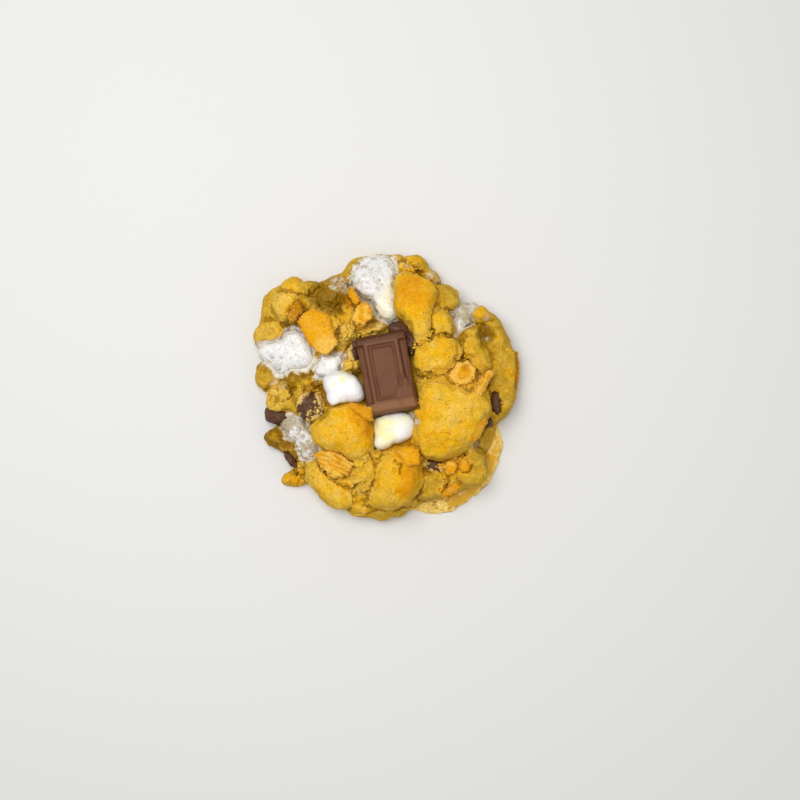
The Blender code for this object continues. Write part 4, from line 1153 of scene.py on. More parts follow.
def makeChip(name, lumps):
    shape = chipShape
    bm = bmesh.new()
    for number, lump in enumerate(lumps):
        addLump(bm, lump, len(name) + 1.37 * number)
    chip = objectFrom(bm, objectName(name))
    oneSkin(chip, shape["voxel"], shape["smoothing"])
    points, normals = readPoints(chip.data), readPoints(chip.data, "normal")
    dents = smoothNoise(points, shape["dentLength"], 5.0)
    if name == crumbledChip:
        dents = 1.6 * dents + 0.9 * smoothNoise(points, 1.3, 45.0)
    height = shape["dentDepth"] * dents + shape["grainDepth"] * smoothNoise(points, shape["grainLength"], 9.0)
    height -= shape["chippedDepth"] * ramp(cellNoise(points, 3.4, 2.0), 0.75, 0.95)
    stuck = np.zeros(len(points))
    if name in coatedChips:
        ragged = 0.45 * smoothNoise(points, 0.9, 31.0) + 0.25 * smoothNoise(points, 0.45, 37.0)
        stuck = ramp(spots(points, stuckDough, 0.6) + ragged, 0.42, 0.62) * ramp(normals[:, 2], -0.1, 0.2)
        height += stuck * (0.35 + 0.35 * smoothNoise(points, 0.8, 41.0))
    paint(chip, "stuck", stuck)
    writePoints(chip.data, pushedOut(points, normals, height))
    paint(chip, "dusty", ramp(smoothNoise(points, 1.8, 13.0) + 0.4 * dents, 0.1, 0.6))
    return chip


chipTones = {
    "dark": (0.070, 0.027, 0.014),
    "brown": (0.128, 0.056, 0.030),
    "dust": (0.34, 0.22, 0.10),
    "stuck": (0.62, 0.43, 0.16),
    "stuckBright": (0.80, 0.54, 0.12),
    "roughness": (0.36, 0.62),
    "specular": 0.2,
}


def makeChipMaterial():
    material, tree, shader = newMaterial("bakedChip")
    tones = chipTones
    middle = objectNoise(tree, 1.6, 4.0, 0.6)
    fine = objectNoise(tree, 0.5, 3.0)
    colour = mixColours(tree, spread(tree, middle), tones["dark"], tones["brown"])
    dusty = share(tree, "dusty", stretchTo(tree, fine, 0.45, 0.7, 0.0, 0.4))
    colour = mixColours(tree, dusty, colour, tones["dust"])
    stuck = mixColours(tree, stretchTo(tree, middle, 0.4, 0.6), tones["stuck"], tones["stuckBright"])
    colour = mixColours(tree, attributeValue(tree, "stuck"), colour, stuck)
    finishShader(tree, shader, colour, spread(tree, middle, *tones["roughness"]), bumpFrom(tree, fine, 0.12, 0.7))
    shader.inputs["Specular IOR Level"].default_value = tones["specular"]
    return material


def uncover(name):
    # the dough that ran over a chip is taken down below its top
    chip = bpy.data.objects[objectName(name)]
    top = BVHTree.FromObject(chip, bpy.context.evaluated_depsgraph_get())
    points = readPoints(dough.data)
    near = np.array([chipLumps[name][0][:2]]) * mm
    for number in np.flatnonzero(np.hypot(*(points[:, :2] - near).T) < chipShape["uncoveredReach"] * mm):
        x, y, z = points[number]
        place = top.ray_cast(Vector((x, y, skyHeight * mm)), Vector((0, 0, -1)))[0]
        if place and place.z - 0.3 * mm < z < place.z + 4.0 * mm:
            points[number, 2] = place.z - chipShape["uncoveredBelow"] * mm
    writePoints(dough.data, points)


chipMaterial = makeChipMaterial()
for name, lumps in chipLumps.items():
    finishPiece(makeChip(name, lumps), "dark_chocolate", chipMaterial, name)
for name in uncoveredChips:
    uncover(name)
print("chips made")


# whole marshmallows

# corners of the outline seen from above, top, half height, rise of the top per mm in x and y
mallowOutlines = {
    "mallow_left": (
        [
            (-24.2, 3.8), (-20.8, 5.4), (-17.2, 6.2), (-13.2, 4.8), (-10.2, 2.4), (-8.6, -1), (-8.4, -4.5),
            (-10, -6), (-14.2, -6), (-17.6, -6.6), (-20.8, -7.4), (-22.6, -2.5),
        ],
        26.0, 8.5, (0.05, 0.0),
    ),
    "mallow_bottom": (
        [
            (-4.4, -12), (-2, -11.5), (2, -10), (6, -9.6), (9, -10.5), (11, -13), (11.2, -16), (10, -19.4),
            (7, -21.2), (3, -22), (0, -23.8), (-3, -24.4), (-4.8, -23.2), (-4.2, -19), (-4.8, -15.5),
        ],
        24.2, 8.0, (0.05, 0.05),
    ),
}

mallowShape = {
    "voxel": 0.34,
    "smoothing": 12,
    "swellLength": 5.0,
    "swellDepth": 0.35,
    "wrinkleLength": 1.4,
    "wrinkleDepth": 0.06,
    "poreLength": 1.6,
    "poreDepth": 0.3,
}

# cream patches: x, y, radius, strength
creamPatches = {
    "mallow_left": [
        (-16.2, 2.8, 1.3, 0.9), (-19.6, 1.0, 0.9, 0.7), (-16.8, 5.0, 1.8, 0.5), (-13, 3.4, 1.6, 0.3),
    ],
    "mallow_bottom": [
        (-1.2, -15.5, 4.4, 1.0), (0.5, -19.5, 3.6, 0.8), (7.2, -12.4, 1.4, 0.7), (-1.5, -12.2, 2.6, 0.6),
        (3.2, -14.0, 2.6, 0.55), (2.4, -18.2, 1.0, 1.0),
    ],
}


def makeMallow(name, outline):
    shape = mallowShape
    bm = bmesh.new()
    addBoulder(bm, outline, len(name))
    mallow = objectFrom(bm, objectName(name))
    oneSkin(mallow, shape["voxel"], shape["smoothing"])
    points, normals = readPoints(mallow.data), readPoints(mallow.data, "normal")
    cream = spots(points, creamPatches[name], 0.7)
    height = shape["swellDepth"] * smoothNoise(points, shape["swellLength"], 3.0)
    height += shape["wrinkleDepth"] * smoothNoise(points, shape["wrinkleLength"], 6.0)
    pores = ramp(cellNoise(points, shape["poreLength"], 3.0), 0.3, 0.1) * ramp(cream, 0.2, 0.8)
    height -= shape["poreDepth"] * pores
    writePoints(mallow.data, pushedOut(points, normals, height))
    paint(mallow, "cream", cream)
    paint(mallow, "pore", pores)
    return mallow


mallowTones = {
    "white": (0.86, 0.85, 0.83),
    "cream": (0.90, 0.85, 0.42),
    "stain": (0.88, 0.70, 0.20),
    "roughness": (0.45, 0.62),
}


def makeMallowMaterial():
    material, tree, shader = newMaterial("softMarshmallow")
    tones = mallowTones
    broad = objectNoise(tree, 3.5, 2.0)
    fine = objectNoise(tree, 0.6, 3.0)
    cream = share(tree, "cream", stretchTo(tree, broad, 0.3, 0.6, 0.55, 1.0))
    colour = mixColours(tree, cream, tones["white"], tones["cream"])
    stain = share(tree, "cream", stretchTo(tree, broad, 0.58, 0.7, 0.0, 0.5))
    stain = maths(tree, "MAXIMUM", stain, share(tree, "pore", 0.6))
    colour = mixColours(tree, stain, colour, tones["stain"])
    finishShader(tree, shader, colour, spread(tree, broad, *tones["roughness"]), bumpFrom(tree, fine, 0.06, 0.5))
    translucent(shader, 0.35, (1.0, 0.9, 0.75), 1.6)
    return material


mallowMaterial = makeMallowMaterial()
for name, outline in mallowOutlines.items():
    finishPiece(makeMallow(name, outline), "marshmallow", mallowMaterial, name)
print("marshmallows made")


# melted, foamy marshmallow

# corners of the outline seen from above, top, half height, rise of the top per mm in x and y
meltOutlines = {
    "melt_top": (
        [
            (-13.5, 42), (-11.5, 47), (-8.5, 49.5), (-4, 51), (0.5, 51), (3, 48.5), (3, 43), (3.2, 38),
            (3, 32.5), (5, 27), (1.5, 25), (-2.5, 27), (-4.5, 30.5), (-5.5, 34), (-10, 36), (-13, 38.5),
        ],
        19.0, 8.0, (0.1, -0.34),
    ),
    "melt_centre": (
        [
            (-27.4, 5.2), (-26.8, 8.5), (-25.4, 11), (-21.6, 12.2), (-17.4, 11.8), (-17.6, 8), (-18.8, 5.6),
            (-23, 4.4),
        ],
        20.4, 6.0, (0.1, 0.0),
    ),
    "melt_left": (
        [
            (-50.5, 15), (-49, 17.6), (-45.5, 17.4), (-41, 18.6), (-38, 22.2), (-34.5, 22.6), (-31.5, 20.3),
            (-29.2, 15.5), (-28, 10.5), (-29.5, 8), (-34, 6.8), (-38, 6.6), (-41, 4.2), (-44, 6), (-46, 9.5),
            (-50, 12),
        ],
        14.2, 6.6, (0.24, 0.1),
    ),
    "melt_lower_left": (
        [
            (-41.5, -15.2), (-40, -12.6), (-36.5, -11), (-33, -12.4), (-31, -15.8), (-29.2, -19),
            (-26.4, -21.8), (-25.7, -24), (-28, -27), (-30.2, -28.4), (-33, -27.4), (-33.6, -24),
            (-35, -20.5), (-37, -17.8), (-40, -16.6),
        ],
        14.0, 6.4, (0.2, 0.0),
    ),
    "melt_right": (
        [
            (25.8, 28), (27.5, 31), (31, 33), (36, 32.4), (34.5, 29.5), (33, 26.5), (31, 24), (28.8, 21.5),
            (28.2, 17.8), (26.3, 18.6), (26.8, 23),
        ],
        16.2, 7.0, (-0.1, -0.2),
    ),
}

# how foamy each is, how much sugar browned it, and its big bubbles: x, y, radius
meltLooks = {
    "melt_top": {"foam": 0.25, "brown": 0.32, "bubbles": []},
    "melt_centre": {"foam": 0.15, "brown": 0.1, "bubbles": []},
    "melt_left": {
        "foam": 0.3, "brown": 0.05, "bubbles": [(-42.5, 8.0, 1.5), (-44.7, 12.0, 1.0), (-41.0, 11.6, 0.7)],
    },
    "melt_lower_left": {"foam": 0.9, "brown": 0.78, "bubbles": [(-34.0, -16.5, 1.0), (-36.0, -13.6, 0.8)]},
    "melt_right": {"foam": 0.6, "brown": 0.8, "bubbles": [(31.0, 24.0, 0.8)]},
}

meltShape = {
    "voxel": 0.3,
    "smoothing": 24,
    "triangles": 70000,
    "swellLength": 4.5,
    "swellDepth": 0.4,
    "largePore": 2.3,
    "largeDepth": 0.7,
    "smallPore": 1.15,
    "smallDepth": 0.35,
    "wrinkleDepth": 0.12,
    "domeHeight": 0.55,
    "moatDepth": 0.35,
    "offFloor": 0.3,
    "fingerLength": 2.4,
    "fingerDepth": 1.1,
    "frostReach": 5,
    "whiteReach": 1.6,
    "filmReach": 2.8,
    "filletReach": 3.0,
    "filletHeight": 2.4,
}


def makeMelt(name, outline):
    own, shape = meltLooks[name], meltShape
    bm = bmesh.new()
    addBoulder(bm, outline, len(name))
    melt = objectFrom(bm, objectName(name))
    oneSkin(melt, shape["voxel"], shape["smoothing"])
    points, normals = readPoints(melt.data), readPoints(melt.data, "normal")
    side = ramp(normals[:, 2], 0.85, 0.3)
    fingers = shape["fingerDepth"] * side * smoothNoise(points, shape["fingerLength"], 19.0)
    points = pushedOut(points, normals, fingers)
    foamy = np.ones(len(points))
    if name == "melt_top":  # its lower right arm is smooth and creamy
        foamy = 1.0 - 0.92 * ramp(points[:, 0] / mm - 0.5 * (points[:, 1] / mm - 33.0), -5.0, -1.0)
    foam = own["foam"] * foamy
    swell = smoothNoise(points, shape["swellLength"], 3.0)
    patchy = ramp(smoothNoise(points, 3.0, 11.0), -0.35, 0.35)
    large = ramp(cellNoise(points, shape["largePore"], 1.0), 0.42, 0.14) * patchy
    small = ramp(cellNoise(points, shape["smallPore"], 4.0), 0.40, 0.12)
    height = shape["swellDepth"] * swell + shape["wrinkleDepth"] * smoothNoise(points, 1.1, 8.0)
    height -= foam * (shape["largeDepth"] * large + shape["smallDepth"] * small)
    bubbles = np.zeros(len(points))
    up = ramp(normals[:, 2], 0.2, 0.6)
    for x, y, radius in own["bubbles"]:
        away = flatDistance(points, x, y) / radius
        dome = shape["domeHeight"] * np.sqrt(np.clip(1.0 - away ** 2, 0.0, 1.0))
        dome -= shape["moatDepth"] * np.exp(-(((away - 1.15) / 0.2) ** 2))
        height += up * radius * dome
        bubbles = np.maximum(bubbles, up * ramp(away, 1.1, 0.85))
    moved = pushedOut(points, normals, height)
    moved[:, 2] = np.maximum(moved[:, 2], shape["offFloor"] * mm)
    writePoints(melt.data, moved)
    paint(melt, "pore", np.clip(foam * (large + 0.7 * small), 0.0, 1.0))
    browned = own["brown"] * foamy * (0.6 + 0.6 * ramp(smoothNoise(points, 5.0, 29.0), -0.3, 0.3))
    # the steep sides are painted in the brown tone too
    paint(melt, "browned", np.clip(browned + 0.5 * ramp(normals[:, 2], 0.55, 0.0), 0.0, 1.0))
    paint(melt, "cream", 1.0 - foamy)
    paint(melt, "bubble", bubbles)
    reachDown = nearestDistance(doughTree, moved) + 0.7 * smoothNoise(moved, 1.6, 25.0)
    paint(melt, "thin", ramp(reachDown, 1.9, 0.4))
    thinOut(melt, shape["triangles"])
    return melt


def frostDough(melts):
    # thin marshmallow on the dough round the melted pieces, with a fillet up to their edges
    shape = meltShape
    points, up = readPoints(dough.data), readPoints(dough.data, "normal")[:, 2]
    film = np.empty(len(points), dtype=np.float32)
    dough.data.attributes["film"].data.foreach_get("value", film)
    ragged = smoothNoise(points, 1.9, 5.0) + 0.5 * smoothNoise(points, 0.9, 15.0)
    frost, lift = np.zeros(len(points)), np.zeros(len(points))
    for name, melt in melts.items():
        skin, margin = readPoints(melt.data), shape["frostReach"] * mm
        near = ((points > skin.min(axis=0) - margin) & (points < skin.max(axis=0) + margin)).all(axis=1)
        here, flat = points[near], points[near] * (1.0, 1.0, 0.0)
        close = nearestDistance(treeOf(skin), here)
        tops = skin[readPoints(melt.data, "normal")[:, 2] > 0.45]
        topTree = treeOf(tops * (1.0, 1.0, 0.0))
        missing = (tops[nearestNumber(topTree, flat), 2] - here[:, 2]) / mm - 0.3
        rise = np.clip(missing, 0.0, shape["filletHeight"]) * ramp(close, 4.0, 2.4)
        rise *= ramp(nearestDistance(topTree, flat), shape["filletReach"], 0.2)
        lift[near] = np.maximum(lift[near], rise)
        film[near] = np.maximum(film[near], ramp(close + 1.2 * ragged[near], shape["filmReach"], 0.5))
        whiteness = ramp(close + 0.9 * ragged[near], shape["whiteReach"], 0.3)
        whiteness *= 1.0 - 0.6 * meltLooks[name]["brown"]
        frost[near] = np.maximum(frost[near], whiteness)
    points[:, 2] += lift * ramp(up, 0.1, 0.6) * mm
    writePoints(dough.data, points)
    paint(dough, "film", film)
    paint(dough, "frost", frost)


meltTones = {
    "white": (0.80, 0.79, 0.77),
    "brown": (0.46, 0.385, 0.25),
    "cream": (0.86, 0.82, 0.62),
    "pore": (0.34, 0.27, 0.16),
    "thin": (0.70, 0.64, 0.52),
    "bubble": (0.46, 0.44, 0.42),
    "roughness": (0.22, 0.42),
}


def makeMeltMaterial():
    material, tree, shader = newMaterial("meltedMarshmallow")
    tones = meltTones
    middle = objectNoise(tree, 1.8, 3.0)
    fine = objectNoise(tree, 0.45, 3.0)
    colour = mixColours(tree, attributeValue(tree, "cream"), tones["white"], tones["cream"])
    browned = maths(tree, "ADD", attributeValue(tree, "browned"), spread(tree, middle, -0.25, 0.25))
    colour = mixColours(tree, stretchTo(tree, browned, 0.1, 1.0), colour, tones["brown"])
    thin = maths(tree, "ADD", attributeValue(tree, "thin"), spread(tree, middle, -0.3, 0.2))
    colour = mixColours(tree, stretchTo(tree, thin, 0.15, 0.9, 0.0, 0.8), colour, tones["thin"])
    # pores and pinholes painted dark: partly painted shade in the holes and partly browned sugar, most where it
    # browned
    holed = maths(tree, "ADD", browned, 0.3, True)
    pore = maths(tree, "MULTIPLY", attributeValue(tree, "pore"), holed, True)
    colour = mixColours(tree, pore, colour, tones["pore"])
    pinholes = stretchTo(tree, objectCells(tree, 1.5), 0.32, 0.18, 0.0, 0.9)
    pinholes = maths(tree, "MULTIPLY", pinholes, holed)
    pinholes = maths(tree, "MULTIPLY", pinholes, stretchTo(tree, middle, 0.35, 0.6, 0.2, 1.0))
    colour = mixColours(tree, pinholes, colour, tones["pore"])
    colour = mixColours(tree, share(tree, "bubble", 0.6), colour, tones["bubble"])
    normal = bumpFrom(tree, fine, 0.06, 0.5)
    foam = stretchTo(tree, objectCells(tree, 1.0), 0.05, 0.3)
    normal = bumpFrom(tree, foam, 0.2, 0.6, normal)
    finishShader(tree, shader, colour, spread(tree, middle, *tones["roughness"]), normal)
    translucent(shader, 0.3, (1.0, 0.85, 0.65), 1.4)
    return material


meltMaterial = makeMeltMaterial()
doughTree = treeOf(readPoints(dough.data))
melts = {name: makeMelt(name, outline) for name, outline in meltOutlines.items()}
frostDough(melts)
for name, melt in melts.items():
    finishPiece(melt, "melted_marshmallow", meltMaterial, name)
print("melted marshmallow made")


# marshmallow that ran out at the foot

footShape = {
    "arc": [(9.5, -47.0), (21.0, -46.8), (31.5, -41.8), (39.6, -32.4), (42.6, -22.0), (41.8, -12.8)],
    "arcMiddle": (16.0, -21.5),
    "arcRadius": 26.0,
    "band": 8.5,
    "height": 3.6,
    "endWidth": 0.55,
    "voxel": 0.34,
    "smoothing": 4,
    "triangles": 60000,
    "smallPore": 1.4,
    "smallDepth": 0.4,
    "largePore": 3.0,
    "largeDepth": 1.1,
    "edgeWaves": 1.1,
}


def footStrip():
    # a flattened tube along the arc
    shape = footShape
    guide = bpy.data.curves.new("footGuide", "CURVE")
    guide.dimensions = "3D"
    guide.resolution_u = 14
    guide.bevel_depth = shape["band"] / 2 * mm
    guide.bevel_resolution = 8
    guide.use_fill_caps = True
    spline = guide.splines.new("BEZIER")
    spline.bezier_points.add(len(shape["arc"]) - 1)
    for point, (x, y) in zip(spline.bezier_points, shape["arc"]):
        point.co = (x * mm, y * mm, 0.0)
        point.handle_left_type = point.handle_right_type = "AUTO"
    spline.bezier_points[0].radius = shape["endWidth"]
    spline.bezier_points[-1].radius = shape["endWidth"]
    guideObject = bpy.data.objects.new("footGuide", guide)
    bpy.context.scene.collection.objects.link(guideObject)
    graph = bpy.context.evaluated_depsgraph_get()
    graph.update()
    mesh = bpy.data.meshes.new_from_object(guideObject.evaluated_get(graph))
    bpy.data.objects.remove(guideObject)
    bm = bmesh.new()
    bm.from_mesh(mesh)
    bmesh.ops.remove_doubles(bm, verts=bm.verts[:], dist=0.01 * mm)
    for vert in bm.verts:
        ripple = 1.0 + 0.35 * noise.noise(vert.co * 120.0)
        vert.co.z *= shape["height"] / (shape["band"] / 2) * ripple
    return objectFrom(bm, "runMarshmallow")


def makeFoot():
    shape, foot = footShape, footStrip()
    oneSkin(foot, shape["voxel"], shape["smoothing"])
    points, normals = readPoints(foot.data), readPoints(foot.data, "normal")
    # creamy at both ends and along the outer edge, amber between
    creamy = ramp(points[:, 0] / mm, 30.0, 20.0)
    creamy = np.maximum(creamy, 0.75 * ramp(points[:, 1] / mm, -26.0, -20.0))
    middle = np.array(shape["arcMiddle"]) * mm
    outward = np.hypot(*(points[:, :2] - middle).T) / mm - shape["arcRadius"]
    creamy = np.clip(creamy + 0.6 * ramp(outward, 1.6, 3.6) + 0.4 * smoothNoise(points, 5.0, 2.0), 0.0, 1.0)
    pores = ramp(cellNoise(points, shape["smallPore"], 7.0), 0.36, 0.16)
    largePores = ramp(cellNoise(points, shape["largePore"], 9.0), 0.34, 0.18)
    height = 0.6 * smoothNoise(points, 3.6, 5.0) + 0.3 * smoothNoise(points, 1.5, 6.0)
    height -= creamy * (shape["smallDepth"] * pores + shape["largeDepth"] * largePores)
    height *= ramp(points[:, 2] / mm, 0.0, 1.2)
    height += shape["edgeWaves"] * ramp(normals[:, 2], 0.8, 0.2) * smoothNoise(points, 4.0, 15.0)
    moved = pushedOut(points, normals, height)
    moved[:, 2] = np.maximum(moved[:, 2], 0.0)
    writePoints(foot.data, moved)
    paint(foot, "creamy", creamy)
    paint(foot, "pore", creamy * np.clip(pores + largePores, 0.0, 1.0))
    thinOut(foot, shape["triangles"])
    return foot


footTones = {
    "cream": (0.98, 0.68, 0.16),
    "amber": (0.76, 0.41, 0.006),
    "pore": (0.46, 0.26, 0.03),
    "roughness": (0.16, 0.34),
}


def makeFootMaterial():
    material, tree, shader = newMaterial("runMarshmallowGloss")
    tones = footTones
    middle = objectNoise(tree, 2.4, 3.0)
    fine = objectNoise(tree, 0.5, 3.0)
    creamy = maths(tree, "ADD", attributeValue(tree, "creamy"), spread(tree, middle, -0.35, 0.35))
    colour = mixColours(tree, stretchTo(tree, creamy, 0.1, 0.9), tones["amber"], tones["cream"])
    # painted shade in the pores
    colour = mixColours(tree, share(tree, "pore", 0.7), colour, tones["pore"])
    finishShader(tree, shader, colour, spread(tree, middle, *tones["roughness"]), bumpFrom(tree, fine, 0.1, 0.5))
    translucent(shader, 0.2, (1.0, 0.7, 0.4), 1.2)
    return material


finishPiece(makeFoot(), "run_marshmallow", makeFootMaterial(), "melt_foot")
print("foot made")


# broken cracker

# corners seen from above, height of the upper face, its rise per mm in x and y, thickness
crackerShapes = {
    "cracker_left": (
        [
            (-34, 25), (-31, 29), (-26, 29.4), (-22, 27.4), (-18.6, 16.6), (-22, 12.8), (-24.6, 12.2),
            (-29.4, 16.6),
        ],
        23.0, (0.1, -0.12), 3.6,
    ),
    "cracker_left_small": (
        [
            (-38, 27), (-36.2, 31.6), (-33.4, 33), (-32.4, 29.6), (-34.8, 25.6), (-37, 25),
        ],
        18.8, (0.1, -0.1), 3.4,
    ),
    "cracker_lower_left": (
        [
            (-27.5, -26), (-24, -25), (-19, -25), (-12, -30), (-14.6, -33.4), (-18, -35), (-21.6, -34.4),
            (-26, -29.6),
        ],
        21.8, (0.1, 0.2), 3.6,
    ),
    "cracker_right": (
        [
            (24, 4), (27.4, 9.4), (31, 10), (34.6, 7), (34, 3), (31, 0.6), (27, 0.6),
        ],
        25.4, (-0.1, 0.0), 3.6,
    ),
    "cracker_right_on_edge": (
        [
            (33.6, -2.2), (36.4, 3.4), (39.2, 6.4), (41, 5.4), (38.6, 0.4), (36.2, -3.4), (34.4, -3.8),
        ],
        26.8, (-0.1, 0.0), 7.0,
    ),
    "cracker_wedge": (
        [
            (31.6, -20.6), (32.2, -16.6), (34.8, -13.8), (37.8, -12.0), (39.0, -13.8), (35.8, -19.0),
            (33.2, -21.4),
        ],
        25.2, (-0.6, 0.3), 4.4,
    ),
    "cracker_rim": (
        [
            (49.8, 14.6), (51.6, 13.8), (52.6, 10), (52.4, 1), (49.4, -9), (44, -8), (44, 12),
        ],
        8.8, (0.0, 0.0), 3.4,
    ),
    "cracker_top": (
        [
            (-12.8, 26), (-11, 31), (-8.4, 33), (-5.8, 31), (-5.2, 26.4), (-8, 23.4), (-11, 24.2),
        ],
        23.6, (0.0, -0.1), 4.6,
    ),
    "cracker_top_sliver": (
        [
            (-14.8, 35.6), (-13.2, 38.0), (-11.4, 36.2), (-9.6, 32.6), (-11, 31.4), (-13, 32.4),
        ],
        21.6, (0.1, 0.1), 3.6,
    ),
    "cracker_bottom_left": (
        [
            (22.4, -31), (23.4, -33.4), (26.4, -33.2), (27.8, -31), (26.4, -29), (23.4, -29),
        ],
        19.8, (0.0, -0.1), 3.6,
    ),
    "cracker_bottom_right": (
        [
            (28, -31), (28.6, -28.4), (31, -28), (32.6, -30), (32, -32.6), (29.4, -33),
        ],
        20.2, (0.0, -0.1), 3.6,
    ),
    "cracker_bottom_sliver": (
        [
            (21.6, -42.6), (22.6, -40.6), (27.6, -37.2), (28.6, -38.8), (24.2, -42.4),
        ],
        17.2, (0.1, 0.4), 3.4,
    ),
    "cracker_on_bottom_boulder": (
        [
            (3.6, -24.6), (8, -22.6), (12.4, -24), (13.0, -29.4), (8.6, -30.4),
        ],
        26.0, (0.02, -0.04), 3.4,
    ),
    "cracker_on_left_boulder": (
        [
            (-14, -6.2), (-9, -7), (-5, -8.4), (-4.8, -13), (-8, -12.4), (-11.6, -10.2),
        ],
        28.6, (0.0, -0.05), 3.4,
    ),
}

crackerShape = {
    "voxel": 0.26,
    "smoothing": 1,
    "raggedOutline": 0.7,
    "raggedFace": 0.18,
    "edge": 0.5,
    "layerLength": 1.1,
    "layerDepth": 0.08,
    "chipLength": 1.6,
    "chipDepth": 0.55,
    "faceDent": 0.14,
    "grainDepth": 0.05,
    "pitDepth": 0.2,
    "ridgeLength": 1.7,
    "ridgeDepth": 0.17,
    "smallShare": 0.6,
}

# paler ends: x, y, radius, strength
palerEnds = [(-21.6, 14.0, 5.5, 1.0)]

# the one with a hole in its face, painted darker inside as painted shade
holedCracker = {"name": "cracker_right", "hole": (30.7, 7.2), "spread": 1.6, "depth": 1.6, "holeShade": 2.0}

# how pale the others are, where they aren't plain toasted
crackerPaleness = {
    "cracker_top": 1.0,
    "cracker_lower_left": 0.85,
    "cracker_right_on_edge": 0.7,
    "cracker_bottom_left": 0.5,
    "cracker_wedge": 0.4,
}

# small bits, smoother than the rest
smallCrackers = ("cracker_right", "cracker_bottom_left", "cracker_bottom_right", "cracker_on_bottom_boulder")

# where a broken edge shows its layers, the direction they run in, in degrees
crackerRidges = {"cracker_lower_left": -27, "cracker_right_on_edge": 62}

# how much darker some baked
crackerDarkness = {"cracker_left_small": 1.0, "cracker_rim": 0.9, "cracker_on_left_boulder": 0.3}


def sway(place):
    return Vector([noise.noise(place + Vector((shift, -shift, shift))) for shift in (0.0, 31.4, 57.3)])


def brokenPlate(name, corners, top, rise, thick):
    # a flat piece with a ragged outline and a bevelled upper edge
    shape = crackerShape
    middle = sum((Vector(corner) for corner in corners), Vector((0, 0))) / len(corners)
    bm = bmesh.new()
    face = bm.faces.new([bm.verts.new((x, y, 0.0)) for x, y in corners])
    face.normal_update()
    if face.normal.z < 0:
        face.normal_flip()
    bmesh.ops.subdivide_edges(bm, edges=bm.edges[:], cuts=1)
    for vert in bm.verts:
        vert.co += shape["raggedOutline"] * sway(vert.co * 0.55)
        vert.co.z = 0.0
    sunk = bmesh.ops.extrude_face_region(bm, geom=bm.faces[:])["geom"]
    below = [item for item in sunk if isinstance(item, bmesh.types.BMVert)]
    bmesh.ops.translate(bm, verts=below, vec=(0, 0, -thick))
    bmesh.ops.recalc_face_normals(bm, faces=bm.faces[:])
    rim = [edge for edge in bm.edges if all(abs(vert.co.z) < 0.01 for vert in edge.verts)]
    bmesh.ops.bevel(
        bm, geom=rim, offset=shape["edge"], offset_type="OFFSET", affect="EDGES", segments=1, profile=0.5,
        material=-1,
    )
    bmesh.ops.triangulate(bm, faces=bm.faces[:])
    for vert in bm.verts:
        across = Vector((vert.co.x - middle.x, vert.co.y - middle.y))
        vert.co.z += top + across.x * rise[0] + across.y * rise[1]
        vert.co += shape["raggedFace"] * sway(vert.co * 0.8)
    bmesh.ops.transform(bm, verts=bm.verts[:], matrix=Matrix.Scale(mm, 4))
    bmesh.ops.recalc_face_normals(bm, faces=bm.faces[:])
    return objectFrom(bm, objectName(name)), middle


def edgeRidges(name, points):
    # layers that stand out on a broken edge
    if name not in crackerRidges:
        return np.zeros(len(points))
    turn = math.radians(crackerRidges[name])
    across = (points[:, 1] * math.cos(turn) - points[:, 0] * math.sin(turn)) / mm
    waves = across / crackerShape["ridgeLength"] * math.tau + 2.4 * smoothNoise(points, 4.0, 51.0)
    return np.sin(waves) * ramp(smoothNoise(points, 3.0, 61.0), -0.6, 0.1)


def makeCracker(name, corners, top, rise, thick):
    shape = crackerShape
    cracker, middle = brokenPlate(name, corners, top, rise, thick)
    oneSkin(cracker, shape["voxel"], shape["smoothing"])
    points, normals = readPoints(cracker.data), readPoints(cracker.data, "normal")
    ends = edgeEnds(cracker.data)
    side = blur(ramp(normals[:, 2], 0.8, 0.3), ends, 2)
    # baked layers and broken-out bits show on the sides
    level = points[:, 2] / mm - (points[:, 0] / mm - middle.x) * rise[0]
    level -= (points[:, 1] / mm - middle.y) * rise[1]
    layers = np.sin(level / shape["layerLength"] * math.tau + 2.0 * smoothNoise(points, 3.0, 2.0))
    broken = smoothNoise(points, shape["chipLength"], 5.0)
    broken += 0.6 * smoothNoise(points, shape["chipLength"] / 2, 8.0)
    pits = ramp(cellNoise(points, 1.9, 6.0), 0.32, 0.10)
    height = side * (shape["layerDepth"] * layers + shape["chipDepth"] * broken)
    dents = shape["faceDent"] * smoothNoise(points, 2.8, 9.0)
    height += dents + shape["grainDepth"] * smoothNoise(points, 0.8, 14.0)
    height *= shape["smallShare"] if name in smallCrackers else 1.0
    height -= shape["pitDepth"] * pits
    holed = name == holedCracker["name"]
    if holed:
        away = flatDistance(points, *holedCracker["hole"])
        hole = np.exp(-(away ** 2) / holedCracker["spread"])
        height -= holedCracker["depth"] * hole
        pits = np.maximum(pits, holedCracker["holeShade"] * hole)
    ridges = edgeRidges(name, points)
    height += shape["ridgeDepth"] * ridges
    writePoints(cracker.data, pushedOut(points, normals, height))
    # painted shade in the pits, under broken-out bits and in the troughs between ridges
    hollowShade = 0.5 * pits + side * ramp(broken, -0.1, -0.6) * 0.7 + 0.5 * ramp(ridges, -0.4, -1.0)
    rimAway = distanceToLine(points, [*corners, corners[0]]) + 0.8 * smoothNoise(points, 2.2, 17.0)
    rim = ramp(rimAway, 2.2, 0.4)
    pale = crackerPaleness.get(name, 0.0) * ramp(smoothNoise(points, 2.6, 3.0), -0.5, 0.3)
    pale = np.maximum(pale, spots(points, palerEnds))
    if holed:  # pale all round, toasted in the middle
        pale, rim = ramp(rimAway, 3.0, 1.4), np.zeros(len(points))
    paint(cracker, "side", np.clip(side + 1.6 * np.maximum(ridges, 0.0), 0.0, 1.6))
    paint(cracker, "hollowShade", np.clip(hollowShade, 0.0, 1.0))
    paint(cracker, "rim", rim)
    paint(cracker, "pale", pale)
    paint(cracker, "dark", np.full(len(points), crackerDarkness.get(name, 0.0)))
    return cracker


